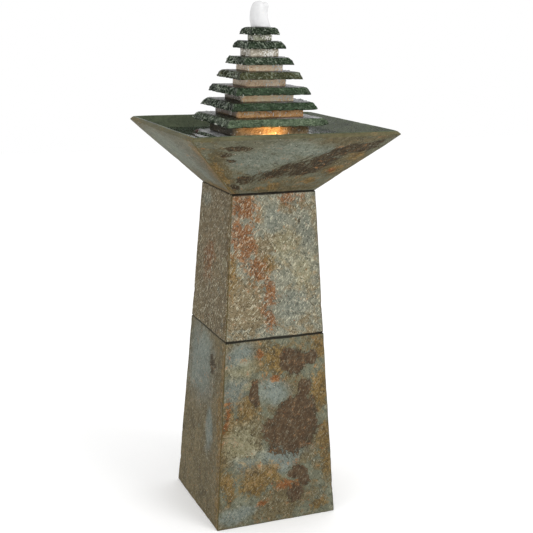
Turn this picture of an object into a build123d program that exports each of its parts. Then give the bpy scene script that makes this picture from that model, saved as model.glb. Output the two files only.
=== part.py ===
from build123d import *
from math import atan2, cos, radians, sin, tan
import os

# Tiered slate water fountain: a hollow two-section pedestal carries a square flared basin, and a
# stack of slate plates stands in the basin over a small pump. Millimetres, +Z up. The origin is
# the middle of the foot, on the ground. The wide front side faces -Y.

os.makedirs("parts", exist_ok=True)

# Pedestal: half widths of the outside, and the heights where the sections meet.
foot_half = 162.5
joint_half = 131.7
neck_half = 110.2
joint_height = 477.7
neck_height = 834.7
pedestal_wall = 10.5
arris = 1.5
strip_leg = 18.0
strip_end_gap = 12.0

# Blocks that hold one section centred on the next.
block_size = 34.0
block_rise = 25.0
block_depth = 40.0
block_play = 4.0

# Notch in the back of the foot where a supply lead leaves.
notch_width = 30.0
notch_height = 22.0

# Basin: flared square bowl of flat slate panels.
basin_foot_half = 108.5
rim_half = 257.0
rim_height = 981.0
basin_wall = 14.5
floor_thickness = 12.3
bead_leg = 6.0
bead_rise = 5.0

# Plate stack, from the top plate down.
tower_top = 1219.2
slate_thickness = 18.0
slate_widths = [77.0, 102.0, 133.0, 165.0, 195.0, 222.0, 258.0, 265.0]
spacer_widths = [47.0, 74.0, 89.0, 102.0, 132.0, 168.0, 189.0]
spacer_heights = [14.0, 19.0, 15.0, 17.5, 16.5, 18.0, 27.0]
slate_flare_angle = 26.0
leg_size = 30.0
leg_outside = 92.0
light_notch_width = 60.0
light_notch_depth = 36.0

# Riser pipe, from the pump to the top plate.
riser_radius = 8.0
riser_bore = 6.05
plate_bore = 8.4
collar_radius = 12.5

# Water plume that stands on the top plate.
plume_height = 61.8
plume_foot_radius = 27.0
plume_waist_radius = 22.0
plume_bulge_radius = 27.0

# Pump. Its rotor turns on an axis along Y.
pump_half_width = 24.0
pump_height = 40.0
pump_corner = 5.0
motor_front = 8.0
motor_back = 52.0
cover_front = -12.0
strainer_front = -34.0
strainer_wall = 2.0
cup_height = 6.0
rotor_well_radius = 8.4
rotor_well_depth = 28.0
magnet_radius = 8.0
shaft_radius = 1.2
running_play = 0.05
shaft_socket = 6.0
volute_radius = 14.5
volute_depth = 14.0
wheel_radius = 12.5
inlet_radius = 6.0
outlet_radius = 6.0
outlet_bore = 4.4
outlet_height = 19.0
knob_radius = 7.0
knob_thickness = 5.0
knob_stem_radius = 2.5
knob_height = 12.0

# Underwater light: a tilting head on a bracket that a suction cup holds to the basin wall.
light_x = 4.0
light_y = -158.0
light_z = 952.0
light_tilt = 15.0
head_radius = 14.0
head_back = -12.0
head_front = 8.0
cavity_radius = 11.0
cavity_back = -6.0
bezel_radius = 15.0
bezel_back = 5.5
bezel_front = 12.0
lens_radius = 12.9
lens_front = 10.4
seal_back = 6.5
boss_radius = 5.0
boss_half = 16.5
ear_inside = 17.0
ear_thickness = 3.0
ear_radius = 6.0
screw_radius = 2.0
screw_tip = 12.5
cup_depth = 8.0
bracket_plate = 2.5

# Sides of a square section and the turn about Z that takes the front side to each.
sides = {"front": 0, "right": 90, "back": 180, "left": 270}

# Worked-out values.
basin_run = rim_half - basin_foot_half
basin_rise = rim_height - neck_height
lean = atan2(basin_run, basin_rise)
floor_top = neck_height + floor_thickness
slate_bases = []
spacer_bases = []
level = tower_top
for drop in spacer_heights:
    slate_bases.append(level - slate_thickness)
    spacer_bases.append(level - slate_thickness - drop)
    level = spacer_bases[-1]
slate_bases.append(level - slate_thickness)
pump_base = floor_top + cup_height
pump_top = pump_base + pump_height
pump_axis = pump_base + pump_height / 2


def finish(builder, name):
    """Labels a finished piece and writes it as a STEP file of the same name."""
    builder.part.label = name
    export_step(builder.part, f"parts/{name}.step")


def inner_basin_half(height):
    """Half width between the basin's inner faces at a height."""
    return basin_foot_half - basin_wall / cos(lean) + (height - neck_height) * tan(lean)


def outward(turn):
    """Horizontal direction out of the side at a turn."""
    return Vector(sin(radians(turn)), -cos(radians(turn)), 0)


def along(turn):
    """Horizontal direction along the side at a turn."""
    return Vector(-cos(radians(turn)), -sin(radians(turn)), 0)


def mitred_wall(outline, half_length, turn):
    """One wall of a square section: an outline of (distance out, height) run along the side
    and cut at 45 degrees at both ends, with its outer edges eased."""
    with BuildPart() as wall:
        with BuildSketch(Plane(origin=(0, 0, 0), x_dir=outward(turn), z_dir=along(turn))):
            with BuildLine():
                Polyline(*outline, close=True)
            make_face()
        extrude(amount=half_length, both=True)
        for across in (along(turn), -along(turn)):
            split(bisect_by=Plane(origin=(0, 0, 0), z_dir=across - outward(turn)), keep=Keep.BOTTOM)
        outer_face = wall.faces().sort_by(SortBy.AREA)[-1]
        chamfer(outer_face.edges(), length=arris)
    return wall


def corner_strips(low, low_half, high, high_half, leg):
    """Four three-sided strips that run up the inside corners of a section."""
    with BuildPart() as strips:
        for turn in sides.values():
            for height, half in ((low, low_half), (high, high_half)):
                with BuildSketch(Plane.XY.offset(height).rotated((0, 0, turn))):
                    with BuildLine():
                        Polyline(
                            (-half, -half), (leg - half, -half), (-half, leg - half), close=True
                        )
                    make_face()
            loft(ruled=True)
    return strips


def section_half(height, low, low_half, high, high_half):
    """Half width of a tapered section at a height."""
    return low_half + (high_half - low_half) * (height - low) / (high - low)


# --- Pedestal -------------------------------------------------------------------------------

lower_outline = [
    (foot_half, 0),
    (joint_half, joint_height),
    (joint_half - pedestal_wall, joint_height),
    (foot_half - pedestal_wall, 0),
]
for side in ("front", "right", "left"):
    finish(mitred_wall(lower_outline, foot_half, sides[side]), f"lower_panel_{side}")

with BuildPart() as lower_panel_back:
    add(mitred_wall(lower_outline, foot_half, sides["back"]).part)
    arch_height = notch_height - notch_width / 2
    with BuildSketch(Plane.XZ.offset(-foot_half)):
        with Locations((0, arch_height / 2)):
            Rectangle(notch_width, arch_height)
        with Locations((0, arch_height)):
            Circle(notch_width / 2)
    extrude(amount=2 * pedestal_wall, both=True, mode=Mode.SUBTRACT)
finish(lower_panel_back, "lower_panel_back")

upper_outline = [
    (joint_half, joint_height),
    (neck_half, neck_height),
    (neck_half - pedestal_wall, neck_height),
    (joint_half - pedestal_wall, joint_height),
]
for side, turn in sides.items():
    upper_panel = mitred_wall(upper_outline, joint_half, turn)
    finish(upper_panel, f"upper_panel_{side}")


def lower_inside(height):
    """Half width inside the lower section at a height."""
    return section_half(height, 0, foot_half, joint_height, joint_half) - pedestal_wall


def upper_inside(height):
    """Half width inside the upper section at a height."""
    outside = section_half(height, joint_height, joint_half, neck_height, neck_half)
    return outside - pedestal_wall


strip_low = strip_end_gap
strip_high = joint_height - block_depth - strip_end_gap
lower_corner_strips = corner_strips(
    strip_low, lower_inside(strip_low), strip_high, lower_inside(strip_high), strip_leg
)
finish(lower_corner_strips, "lower_corner_strips")

strip_low = joint_height + block_rise + strip_end_gap
strip_high = neck_height - block_rise - strip_end_gap
upper_corner_strips = corner_strips(
    strip_low, upper_inside(strip_low), strip_high, upper_inside(strip_high), strip_leg
)
finish(upper_corner_strips, "upper_corner_strips")

# Blocks glued into the top of the lower section: the part below the joint fills the tapered
# inside, and the part above it stands clear of the upper section's walls.
block_low = joint_height - block_depth
with BuildPart() as lower_locating_blocks:
    with BuildSketch(Plane.XY.offset(block_low)):
        Rectangle(2 * lower_inside(block_low), 2 * lower_inside(block_low))
    with BuildSketch(Plane.XY.offset(joint_height)):
        Rectangle(2 * lower_inside(joint_height), 2 * lower_inside(joint_height))
    loft(ruled=True)
    with BuildSketch(Plane.XY.offset(joint_height)):
        block_top_half = upper_inside(joint_height + block_rise) - block_play
        Rectangle(2 * block_top_half, 2 * block_top_half)
    extrude(amount=block_rise)
    block_pitch = 2 * lower_inside(block_low) - block_size
    with BuildSketch(Plane.XY.offset(block_low)):
        with GridLocations(block_pitch, block_pitch, 2, 2):
            Rectangle(block_size, block_size)
    extrude(amount=block_depth + block_rise, mode=Mode.INTERSECT)
finish(lower_locating_blocks, "lower_locating_blocks")

# --- Basin ----------------------------------------------------------------------------------

inward_rise = Vector(cos(lean), sin(lean))
basin_outline = [
    (basin_foot_half, neck_height),
    (rim_half, rim_height),
    (rim_half - basin_wall * inward_rise.X, rim_height + basin_wall * inward_rise.Y),
    (inner_basin_half(neck_height), neck_height),
]
for side, turn in sides.items():
    basin_panel = mitred_wall(basin_outline, rim_half, turn)
    finish(basin_panel, f"basin_panel_{side}")

grommet_place = (-45.0, 45.0)
grommet_radius = 10.0
grommet_flange = 14.0
grommet_lip = 3.0
lead_hole_radius = 2.4
lead_hole_pitch = 9.0
with BuildPart() as basin_floor:
    with BuildSketch(Plane.XY.offset(neck_height)):
        Rectangle(2 * inner_basin_half(neck_height), 2 * inner_basin_half(neck_height))
    with BuildSketch(Plane.XY.offset(floor_top)):
        Rectangle(2 * inner_basin_half(floor_top), 2 * inner_basin_half(floor_top))
    loft(ruled=True)
    with BuildSketch(Plane.XY.offset(neck_height)):
        with Locations(grommet_place):
            Circle(grommet_radius)
    extrude(amount=floor_thickness, mode=Mode.SUBTRACT)
finish(basin_floor, "basin_floor")

with BuildPart() as cord_grommet:
    for low, height, radius in (
        (neck_height - grommet_lip, grommet_lip, grommet_flange),
        (neck_height, floor_thickness, grommet_radius),
        (floor_top, grommet_lip, grommet_flange),
    ):
        with BuildSketch(Plane.XY.offset(low)):
            with Locations(grommet_place):
                Circle(radius)
        extrude(amount=height)
    with BuildSketch(Plane.XY.offset(neck_height - grommet_lip)):
        with Locations(grommet_place):
            with GridLocations(lead_hole_pitch, 0, 2, 1):
                Circle(lead_hole_radius)
    extrude(amount=floor_thickness + 2 * grommet_lip, mode=Mode.SUBTRACT)
finish(cord_grommet, "cord_grommet")

# Sealant: a bead up each inside corner and one along each side of the floor.
bead_top = rim_height - 2 * bead_leg
bead_low_half = inner_basin_half(floor_top)
bead_high_half = inner_basin_half(bead_top)
with BuildPart() as basin_sealant:
    add(corner_strips(floor_top, bead_low_half, bead_top, bead_high_half, bead_leg).part)
    for turn in sides.values():
        with BuildSketch(Plane(origin=(0, 0, 0), x_dir=outward(turn), z_dir=along(turn))):
            with BuildLine():
                Polyline(
                    (bead_low_half, floor_top),
                    (inner_basin_half(floor_top + bead_rise), floor_top + bead_rise),
                    (bead_low_half - bead_leg, floor_top),
                    close=True,
                )
            make_face()
        extrude(amount=bead_low_half - 2 * bead_leg, both=True)
finish(basin_sealant, "basin_sealant")

basin_block_half = upper_inside(neck_height) - block_play
basin_block_pitch = 2 * basin_block_half - block_size
with BuildPart() as basin_locating_blocks:
    with BuildSketch(Plane.XY.offset(neck_height - block_rise)):
        with GridLocations(basin_block_pitch, basin_block_pitch, 2, 2):
            Rectangle(block_size, block_size)
    extrude(amount=block_rise)
finish(basin_locating_blocks, "basin_locating_blocks")

# --- Plate stack ----------------------------------------------------------------------------


def plate(width, low, height, taper, bore, notch_depth=0):
    """A square stone plate with a hole for the riser pipe and, if asked, a notch in its front
    edge for the light."""
    with BuildPart() as stone:
        with BuildSketch(Plane.XY.offset(low)):
            Rectangle(width, width)
        extrude(amount=height, taper=taper)
        with BuildSketch(Plane.XY.offset(low)):
            Circle(bore)
            if notch_depth:
                with Locations((light_x, -width / 2)):
                    Rectangle(light_notch_width, 2 * notch_depth)
        extrude(amount=height, mode=Mode.SUBTRACT)
    return stone


last_slate = len(slate_widths)
for number, (width, base) in enumerate(zip(slate_widths, slate_bases), start=1):
    bore = collar_radius if number == 1 else plate_bore
    notch_depth = light_notch_depth if number == last_slate else 0
    slate = plate(width, base, slate_thickness, slate_flare_angle, bore, notch_depth)
    finish(slate, f"slate_{number}")

for number, (width, base, height) in enumerate(
    zip(spacer_widths, spacer_bases, spacer_heights), start=1
):
    spacer = plate(width, base, height, 0, plate_bore)
    finish(spacer, f"spacer_{number}")

with BuildPart() as tower_legs:
    with BuildSketch(Plane.XY.offset(floor_top)):
        with GridLocations(2 * leg_outside - leg_size, 2 * leg_outside - leg_size, 2, 2):
            Rectangle(leg_size, leg_size)
    extrude(amount=slate_bases[-1] - floor_top)
finish(tower_legs, "tower_legs")

with BuildPart() as spout_collar:
    with BuildSketch(Plane.XY.offset(slate_bases[0])):
        Circle(collar_radius)
        Circle(riser_radius, mode=Mode.SUBTRACT)
    extrude(amount=slate_thickness)
finish(spout_collar, "spout_collar")

riser_low = pump_top + 4.0
with BuildPart() as riser_tube:
    with BuildSketch(Plane.XY.offset(riser_low)):
        Circle(riser_radius)
        Circle(riser_bore, mode=Mode.SUBTRACT)
    extrude(amount=tower_top - riser_low)
finish(riser_tube, "riser_tube")

with BuildPart() as water_plume:
    with BuildSketch(Plane.XZ):
        with BuildLine():
            plume_edge = Spline(
                (plume_foot_radius, tower_top),
                (plume_waist_radius, tower_top + 0.3 * plume_height),
                (plume_bulge_radius, tower_top + 0.7 * plume_height),
                (0, tower_top + plume_height),
                tangents=((-0.5, 1), (-1, 0)),
            )
            Polyline(plume_edge @ 1, (0, tower_top), plume_edge @ 0)
        make_face()
    revolve(axis=Axis.Z)
finish(water_plume, "water_plume")

# --- Pump -----------------------------------------------------------------------------------


def pump_plane(y):
    """Plane square to the rotor axis at a place along Y, facing +Y."""
    return Plane(origin=(0, y, pump_axis), x_dir=(1, 0, 0), z_dir=(0, 1, 0))


with BuildPart() as pump_housing:
    with BuildSketch(pump_plane(motor_front)):
        Rectangle(2 * pump_half_width, pump_height)
    extrude(amount=motor_back - motor_front)
    fillet(pump_housing.faces().sort_by(Axis.Y)[-1].edges(), radius=pump_corner)
    with BuildSketch(pump_plane(motor_front)):
        Circle(rotor_well_radius)
    extrude(amount=rotor_well_depth, mode=Mode.SUBTRACT)
    with BuildSketch(pump_plane(motor_front + rotor_well_depth)):
        Circle(shaft_radius)
    extrude(amount=shaft_socket, mode=Mode.SUBTRACT)
finish(pump_housing, "pump_housing")

with BuildPart() as pump_cover:
    with BuildSketch(pump_plane(cover_front)):
        Rectangle(2 * pump_half_width, pump_height)
    extrude(amount=motor_front - cover_front)
    with BuildSketch(pump_plane(motor_front)):
        Circle(volute_radius)
    extrude(amount=-volute_depth, mode=Mode.SUBTRACT)
    with BuildSketch(pump_plane(cover_front)):
        Circle(inlet_radius)
    extrude(amount=motor_front - cover_front, mode=Mode.SUBTRACT)
    with BuildSketch(Plane.XY.offset(pump_axis)):
        Circle(outlet_bore)
    extrude(amount=pump_height, mode=Mode.SUBTRACT)
    knob_axis = Plane(
        origin=(pump_half_width, (cover_front + motor_front) / 2, pump_base + knob_height),
        x_dir=(0, 1, 0),
        z_dir=(1, 0, 0),
    )
    with BuildSketch(knob_axis):
        Circle(knob_stem_radius + running_play)
    extrude(amount=-knob_thickness, mode=Mode.SUBTRACT)
finish(pump_cover, "pump_cover")

with BuildPart() as pump_outlet:
    with BuildSketch(Plane.XY.offset(pump_top)):
        Circle(outlet_radius + 3)
    extrude(amount=3)
    with BuildSketch(Plane.XY.offset(pump_top)):
        Circle(outlet_radius)
    extrude(amount=outlet_height)
    with BuildSketch(Plane.XY.offset(pump_top)):
        Circle(outlet_bore)
    extrude(amount=outlet_height, mode=Mode.SUBTRACT)
finish(pump_outlet, "pump_outlet")

with BuildPart() as pump_suction_cups:
    with Locations((0, (motor_front + motor_back) / 2, floor_top)):
        with GridLocations(pump_half_width + 8, motor_back - motor_front - 18, 2, 2):
            Cone(
                bottom_radius=8,
                top_radius=4,
                height=cup_height,
                align=(Align.CENTER, Align.CENTER, Align.MIN),
            )
finish(pump_suction_cups, "pump_suction_cups")

with BuildPart() as pump_gland:
    with BuildSketch(pump_plane(motor_back)):
        Circle(5)
    extrude(amount=9, taper=8)
    with BuildSketch(pump_plane(motor_back)):
        Circle(lead_hole_radius)
    extrude(amount=9, mode=Mode.SUBTRACT)
finish(pump_gland, "pump_gland")

shaft_front = cover_front + 7
with BuildPart() as pump_shaft:
    with BuildSketch(pump_plane(shaft_front)):
        Circle(shaft_radius)
    extrude(amount=motor_front + rotor_well_depth + shaft_socket - shaft_front)
finish(pump_shaft, "pump_shaft")

magnet_front = motor_front + 1
with BuildPart() as rotor_magnet:
    with BuildSketch(pump_plane(magnet_front)):
        Circle(magnet_radius)
        Circle(shaft_radius + running_play, mode=Mode.SUBTRACT)
    extrude(amount=rotor_well_depth - 2)
finish(rotor_magnet, "rotor_magnet")

vane_count = 6
with BuildPart() as impeller_wheel:
    with BuildSketch(pump_plane(motor_front - 3)):
        Circle(wheel_radius)
    extrude(amount=2)
    with BuildSketch(pump_plane(motor_front - 11)):
        Circle(4)
    extrude(amount=magnet_front - motor_front + 11)
    with BuildSketch(pump_plane(motor_front - 10)):
        with PolarLocations((wheel_radius + 3) / 2, vane_count):
            Rectangle(wheel_radius - 3.5, 1.2)
    extrude(amount=7)
    with BuildSketch(pump_plane(motor_front - 11)):
        Circle(shaft_radius + running_play)
    extrude(amount=12, mode=Mode.SUBTRACT)
finish(impeller_wheel, "impeller_wheel")

slot_count = 7
with BuildPart() as strainer_cover:
    with BuildSketch(pump_plane(strainer_front)):
        Rectangle(2 * pump_half_width, pump_height)
    extrude(amount=cover_front - strainer_front)
    with BuildSketch(pump_plane(strainer_front + strainer_wall)):
        Rectangle(2 * (pump_half_width - strainer_wall), pump_height - 2 * strainer_wall)
    extrude(amount=cover_front - strainer_front, mode=Mode.SUBTRACT)
    with BuildSketch(pump_plane(strainer_front)):
        with GridLocations(5.6, 0, slot_count, 1):
            Rectangle(2.6, pump_height - 12)
    extrude(amount=strainer_wall, mode=Mode.SUBTRACT)
finish(strainer_cover, "strainer_cover")

with BuildPart() as flow_regulator:
    with BuildSketch(knob_axis.offset(0.3)):
        Circle(knob_radius)
    extrude(amount=knob_thickness - 2)
    with BuildSketch(knob_axis.offset(0.3)):
        Rectangle(2 * knob_radius - 2, 3)
    extrude(amount=knob_thickness)
    with BuildSketch(knob_axis.offset(0.3)):
        Circle(knob_stem_radius)
    extrude(amount=-(knob_thickness - 0.5))
finish(flow_regulator, "flow_regulator")

# --- Light ----------------------------------------------------------------------------------

light_pivot = Vector(light_x, light_y, light_z)
wall_normal = Vector(0, cos(lean), sin(lean))
wall_gap = (inner_basin_half(light_z) + light_y) * cos(lean)
seat = Plane(origin=light_pivot - wall_normal * wall_gap, x_dir=(1, 0, 0), z_dir=wall_normal)
beam = Vector(0, cos(radians(light_tilt)), sin(radians(light_tilt)))


def head_plane(distance):
    """Plane square to the light's beam, a distance along it from the pivot."""
    return Plane(origin=light_pivot + beam * distance, x_dir=(1, 0, 0), z_dir=beam)


def pivot_plane(distance, facing):
    """Plane square to the tilt axis, a distance along X from the middle of the light."""
    origin = light_pivot + Vector(distance, 0, 0)
    return Plane(origin=origin, x_dir=wall_normal, z_dir=(facing, 0, 0))


with BuildPart() as light_suction_cup:
    with BuildSketch(seat):
        Circle(12)
    extrude(amount=cup_depth - 3, taper=45)
    with BuildSketch(seat):
        Circle(5)
    extrude(amount=cup_depth)
finish(light_suction_cup, "light_suction_cup")

ear_reach = wall_gap - cup_depth
with BuildPart() as light_bracket:
    with BuildSketch(seat.offset(cup_depth)):
        Rectangle(2 * (ear_inside + ear_thickness), 2 * ear_radius)
    extrude(amount=bracket_plate)
    for facing in (-1, 1):
        with BuildSketch(pivot_plane(facing * ear_inside, facing)):
            Circle(ear_radius)
            with Locations((-ear_reach / 2, 0)):
                Rectangle(ear_reach, 2 * ear_radius)
            Circle(screw_radius, mode=Mode.SUBTRACT)
        extrude(amount=ear_thickness)
finish(light_bracket, "light_bracket")

screw_head_seat = ear_inside + ear_thickness
with BuildPart() as light_screws:
    for facing in (-1, 1):
        with BuildSketch(pivot_plane(facing * screw_tip, facing)):
            Circle(screw_radius)
        extrude(amount=screw_head_seat - screw_tip)
        with BuildSketch(pivot_plane(facing * screw_head_seat, facing)):
            Circle(2 * screw_radius)
        extrude(amount=2)
        with BuildSketch(pivot_plane(facing * (screw_head_seat + 2), facing)):
            Rectangle(3 * screw_radius, 0.8)
        extrude(amount=-1, mode=Mode.SUBTRACT)
finish(light_screws, "light_screws")

with BuildPart() as light_housing:
    with BuildSketch(head_plane(head_back)):
        Circle(head_radius)
    extrude(amount=head_front - head_back)
    chamfer(light_housing.edges().filter_by(GeomType.CIRCLE).sort_by(Axis.Y)[0], length=2)
    with BuildSketch(pivot_plane(-boss_half, 1)):
        Circle(boss_radius)
    extrude(amount=2 * boss_half)
    with BuildSketch(head_plane(cavity_back)):
        Circle(cavity_radius)
    extrude(amount=head_front - cavity_back, mode=Mode.SUBTRACT)
    with BuildSketch(head_plane(seal_back)):
        Circle(lens_radius + 0.1)
    extrude(amount=head_front - seal_back, mode=Mode.SUBTRACT)
    for facing in (-1, 1):
        with BuildSketch(pivot_plane(facing * (screw_tip - 0.2), facing)):
            Circle(screw_radius + running_play)
        extrude(amount=boss_half, mode=Mode.SUBTRACT)
finish(light_housing, "light_housing")

with BuildPart() as light_led:
    with BuildSketch(head_plane(cavity_back)):
        Circle(cavity_radius - 0.1)
    extrude(amount=2)
    with BuildSketch(head_plane(cavity_back + 2)):
        with PolarLocations(5.5, 3):
            Circle(2.6)
    extrude(amount=1.6)
finish(light_led, "light_led")

with BuildPart() as light_seal:
    with BuildSketch(head_plane(seal_back)):
        Circle(lens_radius)
        Circle(cavity_radius, mode=Mode.SUBTRACT)
    extrude(amount=head_front - seal_back)
finish(light_seal, "light_seal")

with BuildPart() as light_lens:
    with BuildSketch(head_plane(head_front)):
        Circle(lens_radius)
    extrude(amount=lens_front - head_front)
finish(light_lens, "light_lens")

with BuildPart() as light_bezel:
    with BuildSketch(head_plane(bezel_back)):
        Circle(bezel_radius)
        Circle(head_radius + 0.05, mode=Mode.SUBTRACT)
    extrude(amount=head_front - bezel_back)
    with BuildSketch(head_plane(head_front)):
        Circle(bezel_radius)
        Circle(lens_radius + 0.05, mode=Mode.SUBTRACT)
    extrude(amount=lens_front - head_front)
    with BuildSketch(head_plane(lens_front)):
        Circle(bezel_radius)
        Circle(lens_radius - 1.6, mode=Mode.SUBTRACT)
    extrude(amount=bezel_front - lens_front)
finish(light_bezel, "light_bezel")

with BuildPart() as light_gland:
    with BuildSketch(head_plane(head_back)):
        Circle(4)
    extrude(amount=-6, taper=8)
    with BuildSketch(head_plane(head_back)):
        Circle(lead_hole_radius)
    extrude(amount=-6, mode=Mode.SUBTRACT)
finish(light_gland, "light_gland")
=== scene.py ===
"""Looks for a tiered slate water fountain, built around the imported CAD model. Metres."""

import math

import bpy
import numpy as np
from mathutils import Matrix, Vector


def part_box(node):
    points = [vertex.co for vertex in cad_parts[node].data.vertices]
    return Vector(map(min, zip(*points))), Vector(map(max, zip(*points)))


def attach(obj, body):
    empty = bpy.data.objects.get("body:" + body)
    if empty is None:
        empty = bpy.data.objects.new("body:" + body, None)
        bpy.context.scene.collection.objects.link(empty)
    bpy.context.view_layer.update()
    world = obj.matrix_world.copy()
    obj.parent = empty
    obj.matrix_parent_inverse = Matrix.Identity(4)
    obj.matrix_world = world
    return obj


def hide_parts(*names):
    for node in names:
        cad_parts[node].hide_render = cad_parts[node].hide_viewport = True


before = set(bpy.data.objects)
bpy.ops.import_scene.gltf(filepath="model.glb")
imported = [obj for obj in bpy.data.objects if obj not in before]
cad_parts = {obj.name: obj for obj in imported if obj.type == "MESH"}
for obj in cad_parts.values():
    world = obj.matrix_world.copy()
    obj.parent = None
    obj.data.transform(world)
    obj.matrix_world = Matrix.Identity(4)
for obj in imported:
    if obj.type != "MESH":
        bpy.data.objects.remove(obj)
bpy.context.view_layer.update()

MM = 0.001
SIDES = {"front": 0, "right": 90, "back": 180, "left": 270}

# --- Camera ------------------------------------------------------------------------------------

CAMERA_AIM = Vector((0, 0, 0.623))
CAMERA_DISTANCE = 2.618
CAMERA_AZIMUTH = math.radians(-21.88)
CAMERA_ELEVATION = math.radians(13.85)
CAMERA_ROLL = math.radians(0.72)
CAMERA_LENS = 69.74
CAMERA_SHIFT = (0.0187, 0.0034)


def add_object(name, data):
    """A new object in the scene for a mesh, a light or a camera."""
    made = bpy.data.objects.new(name, data)
    bpy.context.scene.collection.objects.link(made)
    return made


def make_camera():
    """A camera that looks at the fountain from the front left, a little above the plates."""
    back = Vector(
        (
            math.sin(CAMERA_AZIMUTH) * math.cos(CAMERA_ELEVATION),
            -math.cos(CAMERA_AZIMUTH) * math.cos(CAMERA_ELEVATION),
            math.sin(CAMERA_ELEVATION),
        )
    )
    right = Vector((0, 0, 1)).cross(back).normalized()
    up = back.cross(right)
    cosine, sine = math.cos(CAMERA_ROLL), math.sin(CAMERA_ROLL)
    across = cosine * right + sine * up
    upward = cosine * up - sine * right
    camera = bpy.data.cameras.new("camera")
    camera.lens = CAMERA_LENS
    camera.shift_x, camera.shift_y = CAMERA_SHIFT
    holder = add_object("camera", camera)
    turn = Matrix((across, upward, back)).transposed().to_4x4()
    holder.matrix_world = Matrix.Translation(CAMERA_AIM + CAMERA_DISTANCE * back) @ turn
    bpy.context.scene.camera = holder


make_camera()

# --- Noise at arrays of points -----------------------------------------------------------------


# Large odd factors that scatter neighbouring cells, and the bits that are kept.
HASH_X, HASH_Y, HASH_Z, HASH_SEED = 374761393, 668265263, 1274126177, 974634777
HASH_STIR = 1103515245
LOW_32, LOW_16 = 0xFFFFFFFF, 0xFFFF


def lattice_value(cell, seed):
    """A repeatable value from 0 to 1 for each whole-numbered cell."""
    h = cell[0] * HASH_X + cell[1] * HASH_Y + cell[2] * HASH_Z + seed * HASH_SEED
    h &= LOW_32
    h = ((h ^ (h >> 13)) * HASH_STIR) & LOW_32
    return ((h ^ (h >> 16)) & LOW_16) / LOW_16


def noise(points, size, seed):
    """Smooth noise from -1 to 1, with features of a size."""
    scaled = np.asarray(points, float).T / size
    cell = np.floor(scaled).astype(np.int64)
    part = scaled - cell
    part = part * part * (3 - 2 * part)
    total = np.zeros(scaled.shape[1])
    for corner in np.ndindex(2, 2, 2):
        weight = np.ones_like(total)
        for axis in range(3):
            weight *= part[axis] if corner[axis] else 1 - part[axis]
        total += weight * lattice_value(cell + np.array(corner)[:, None], seed)
    return 2 * total - 1


def fractal(points, size, octaves, seed, gain=0.5):
    """Noise at several sizes, each half the last, from about -1 to 1."""
    total, amount, whole = 0, 1.0, 0
    for octave in range(octaves):
        total = total + amount * noise(points, size / 2**octave, seed + octave)
        whole += amount
        amount *= gain
    return total / whole


def flakes(across, up, size, seed):
    """How far each place is from a scattered flake's middle, and from the ridge round the flake.

    Both are in flake sizes. The size is (across, up).
    """
    spot = np.stack([across / size[0], up / size[1]])
    cell = np.floor(spot).astype(np.int64)
    nearest, second = np.full(len(across), 9.0), np.full(len(across), 9.0)
    for side, rise in np.ndindex(3, 3):
        there = np.stack([cell[0] + side - 1, cell[1] + rise - 1, 0 * cell[0]])
        gap = np.hypot(
            spot[0] - there[0] - lattice_value(there, seed),
            spot[1] - there[1] - lattice_value(there, seed + 1),
        )
        second = np.minimum(second, np.maximum(nearest, gap))
        nearest = np.minimum(nearest, gap)
    return nearest, second - nearest


def step_up(value, low, high):
    """0 below low, 1 above high, and smooth between."""
    share = np.clip((value - low) / (high - low), 0, 1)
    return share * share * (3 - 2 * share)


def terraces(value, count, steep):
    """Turns a smooth value into count level steps with steep edges."""
    scaled = value * count
    base = np.floor(scaled)
    return (base + step_up(scaled - base, 1 - steep, 1)) / count


# --- Meshes ------------------------------------------------------------------------------------


def make_mesh(name, points, faces, fields=None, smooth=True):
    """A mesh object, with named point values kept for its material."""
    mesh = bpy.data.meshes.new(name)
    faces = faces.tolist() if isinstance(faces, np.ndarray) else faces
    mesh.from_pydata(np.asarray(points).tolist(), [], faces)
    mesh.validate()
    for key, values in (fields or {}).items():
        values = np.asarray(values, np.float32)
        kind, part = ("FLOAT_VECTOR", "vector") if values.ndim == 2 else ("FLOAT", "value")
        mesh.attributes.new(key, kind, "POINT").data.foreach_set(part, values.ravel())
    mesh.polygons.foreach_set("use_smooth", [smooth] * len(mesh.polygons))
    mesh.update()
    return add_object(name, mesh)


def place(piece, body, slot, material, *nodes):
    """Gives a piece its material and body, and hides the CAD nodes that it stands for. The slot is
    not used.
    """
    piece.data.materials.append(material)
    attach(piece, body)
    if nodes:
        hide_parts(*nodes)
    return piece


def box_shell(counts):
    """Points (0 to 1 each way) and quads of a box's skin, cut into counts cells each way."""
    shape = [count + 1 for count in counts]
    index = np.indices(shape)
    skin = np.zeros(shape, bool)
    for axis, count in enumerate(counts):
        skin |= (index[axis] == 0) | (index[axis] == count)
    ids = np.full(shape, -1)
    ids[skin] = np.arange(skin.sum())
    points = np.stack([index[axis][skin] / counts[axis] for axis in range(3)], axis=1)
    quads = []
    for axis in range(3):
        for end in (0, -1):
            face = np.take(ids, end, axis=axis)
            loop = [face[:-1, :-1], face[1:, :-1], face[1:, 1:], face[:-1, 1:]]
            if (end == 0) != (axis == 1):
                loop.reverse()
            quads.append(np.stack([corner.ravel() for corner in loop], axis=1))
    return points, np.concatenate(quads)


def turned(points, degrees):
    """Points turned about the upright middle axis."""
    angle = math.radians(degrees)
    cosine, sine = math.cos(angle), math.sin(angle)
    x, y = points[:, 0], points[:, 1]
    return np.stack([cosine * x - sine * y, sine * x + cosine * y, points[:, 2]], axis=1)


def mesh_points(node):
    """The corners of a CAD node's mesh at rest, in metres."""
    return np.array([corner.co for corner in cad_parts[node].data.vertices], float)


def cuts(length, step, fine):
    """Places from 0 to 1 along a length: fine distances from both ends, a step apart between."""
    fine = np.asarray(fine)
    count = max(2, int(round((length - 2 * fine[-1]) / step)))
    middle = np.linspace(fine[-1], length - fine[-1], count + 1)
    return np.concatenate([fine[:-1], middle, length - fine[-2::-1]]) / length


# --- Materials ---------------------------------------------------------------------------------


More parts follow.
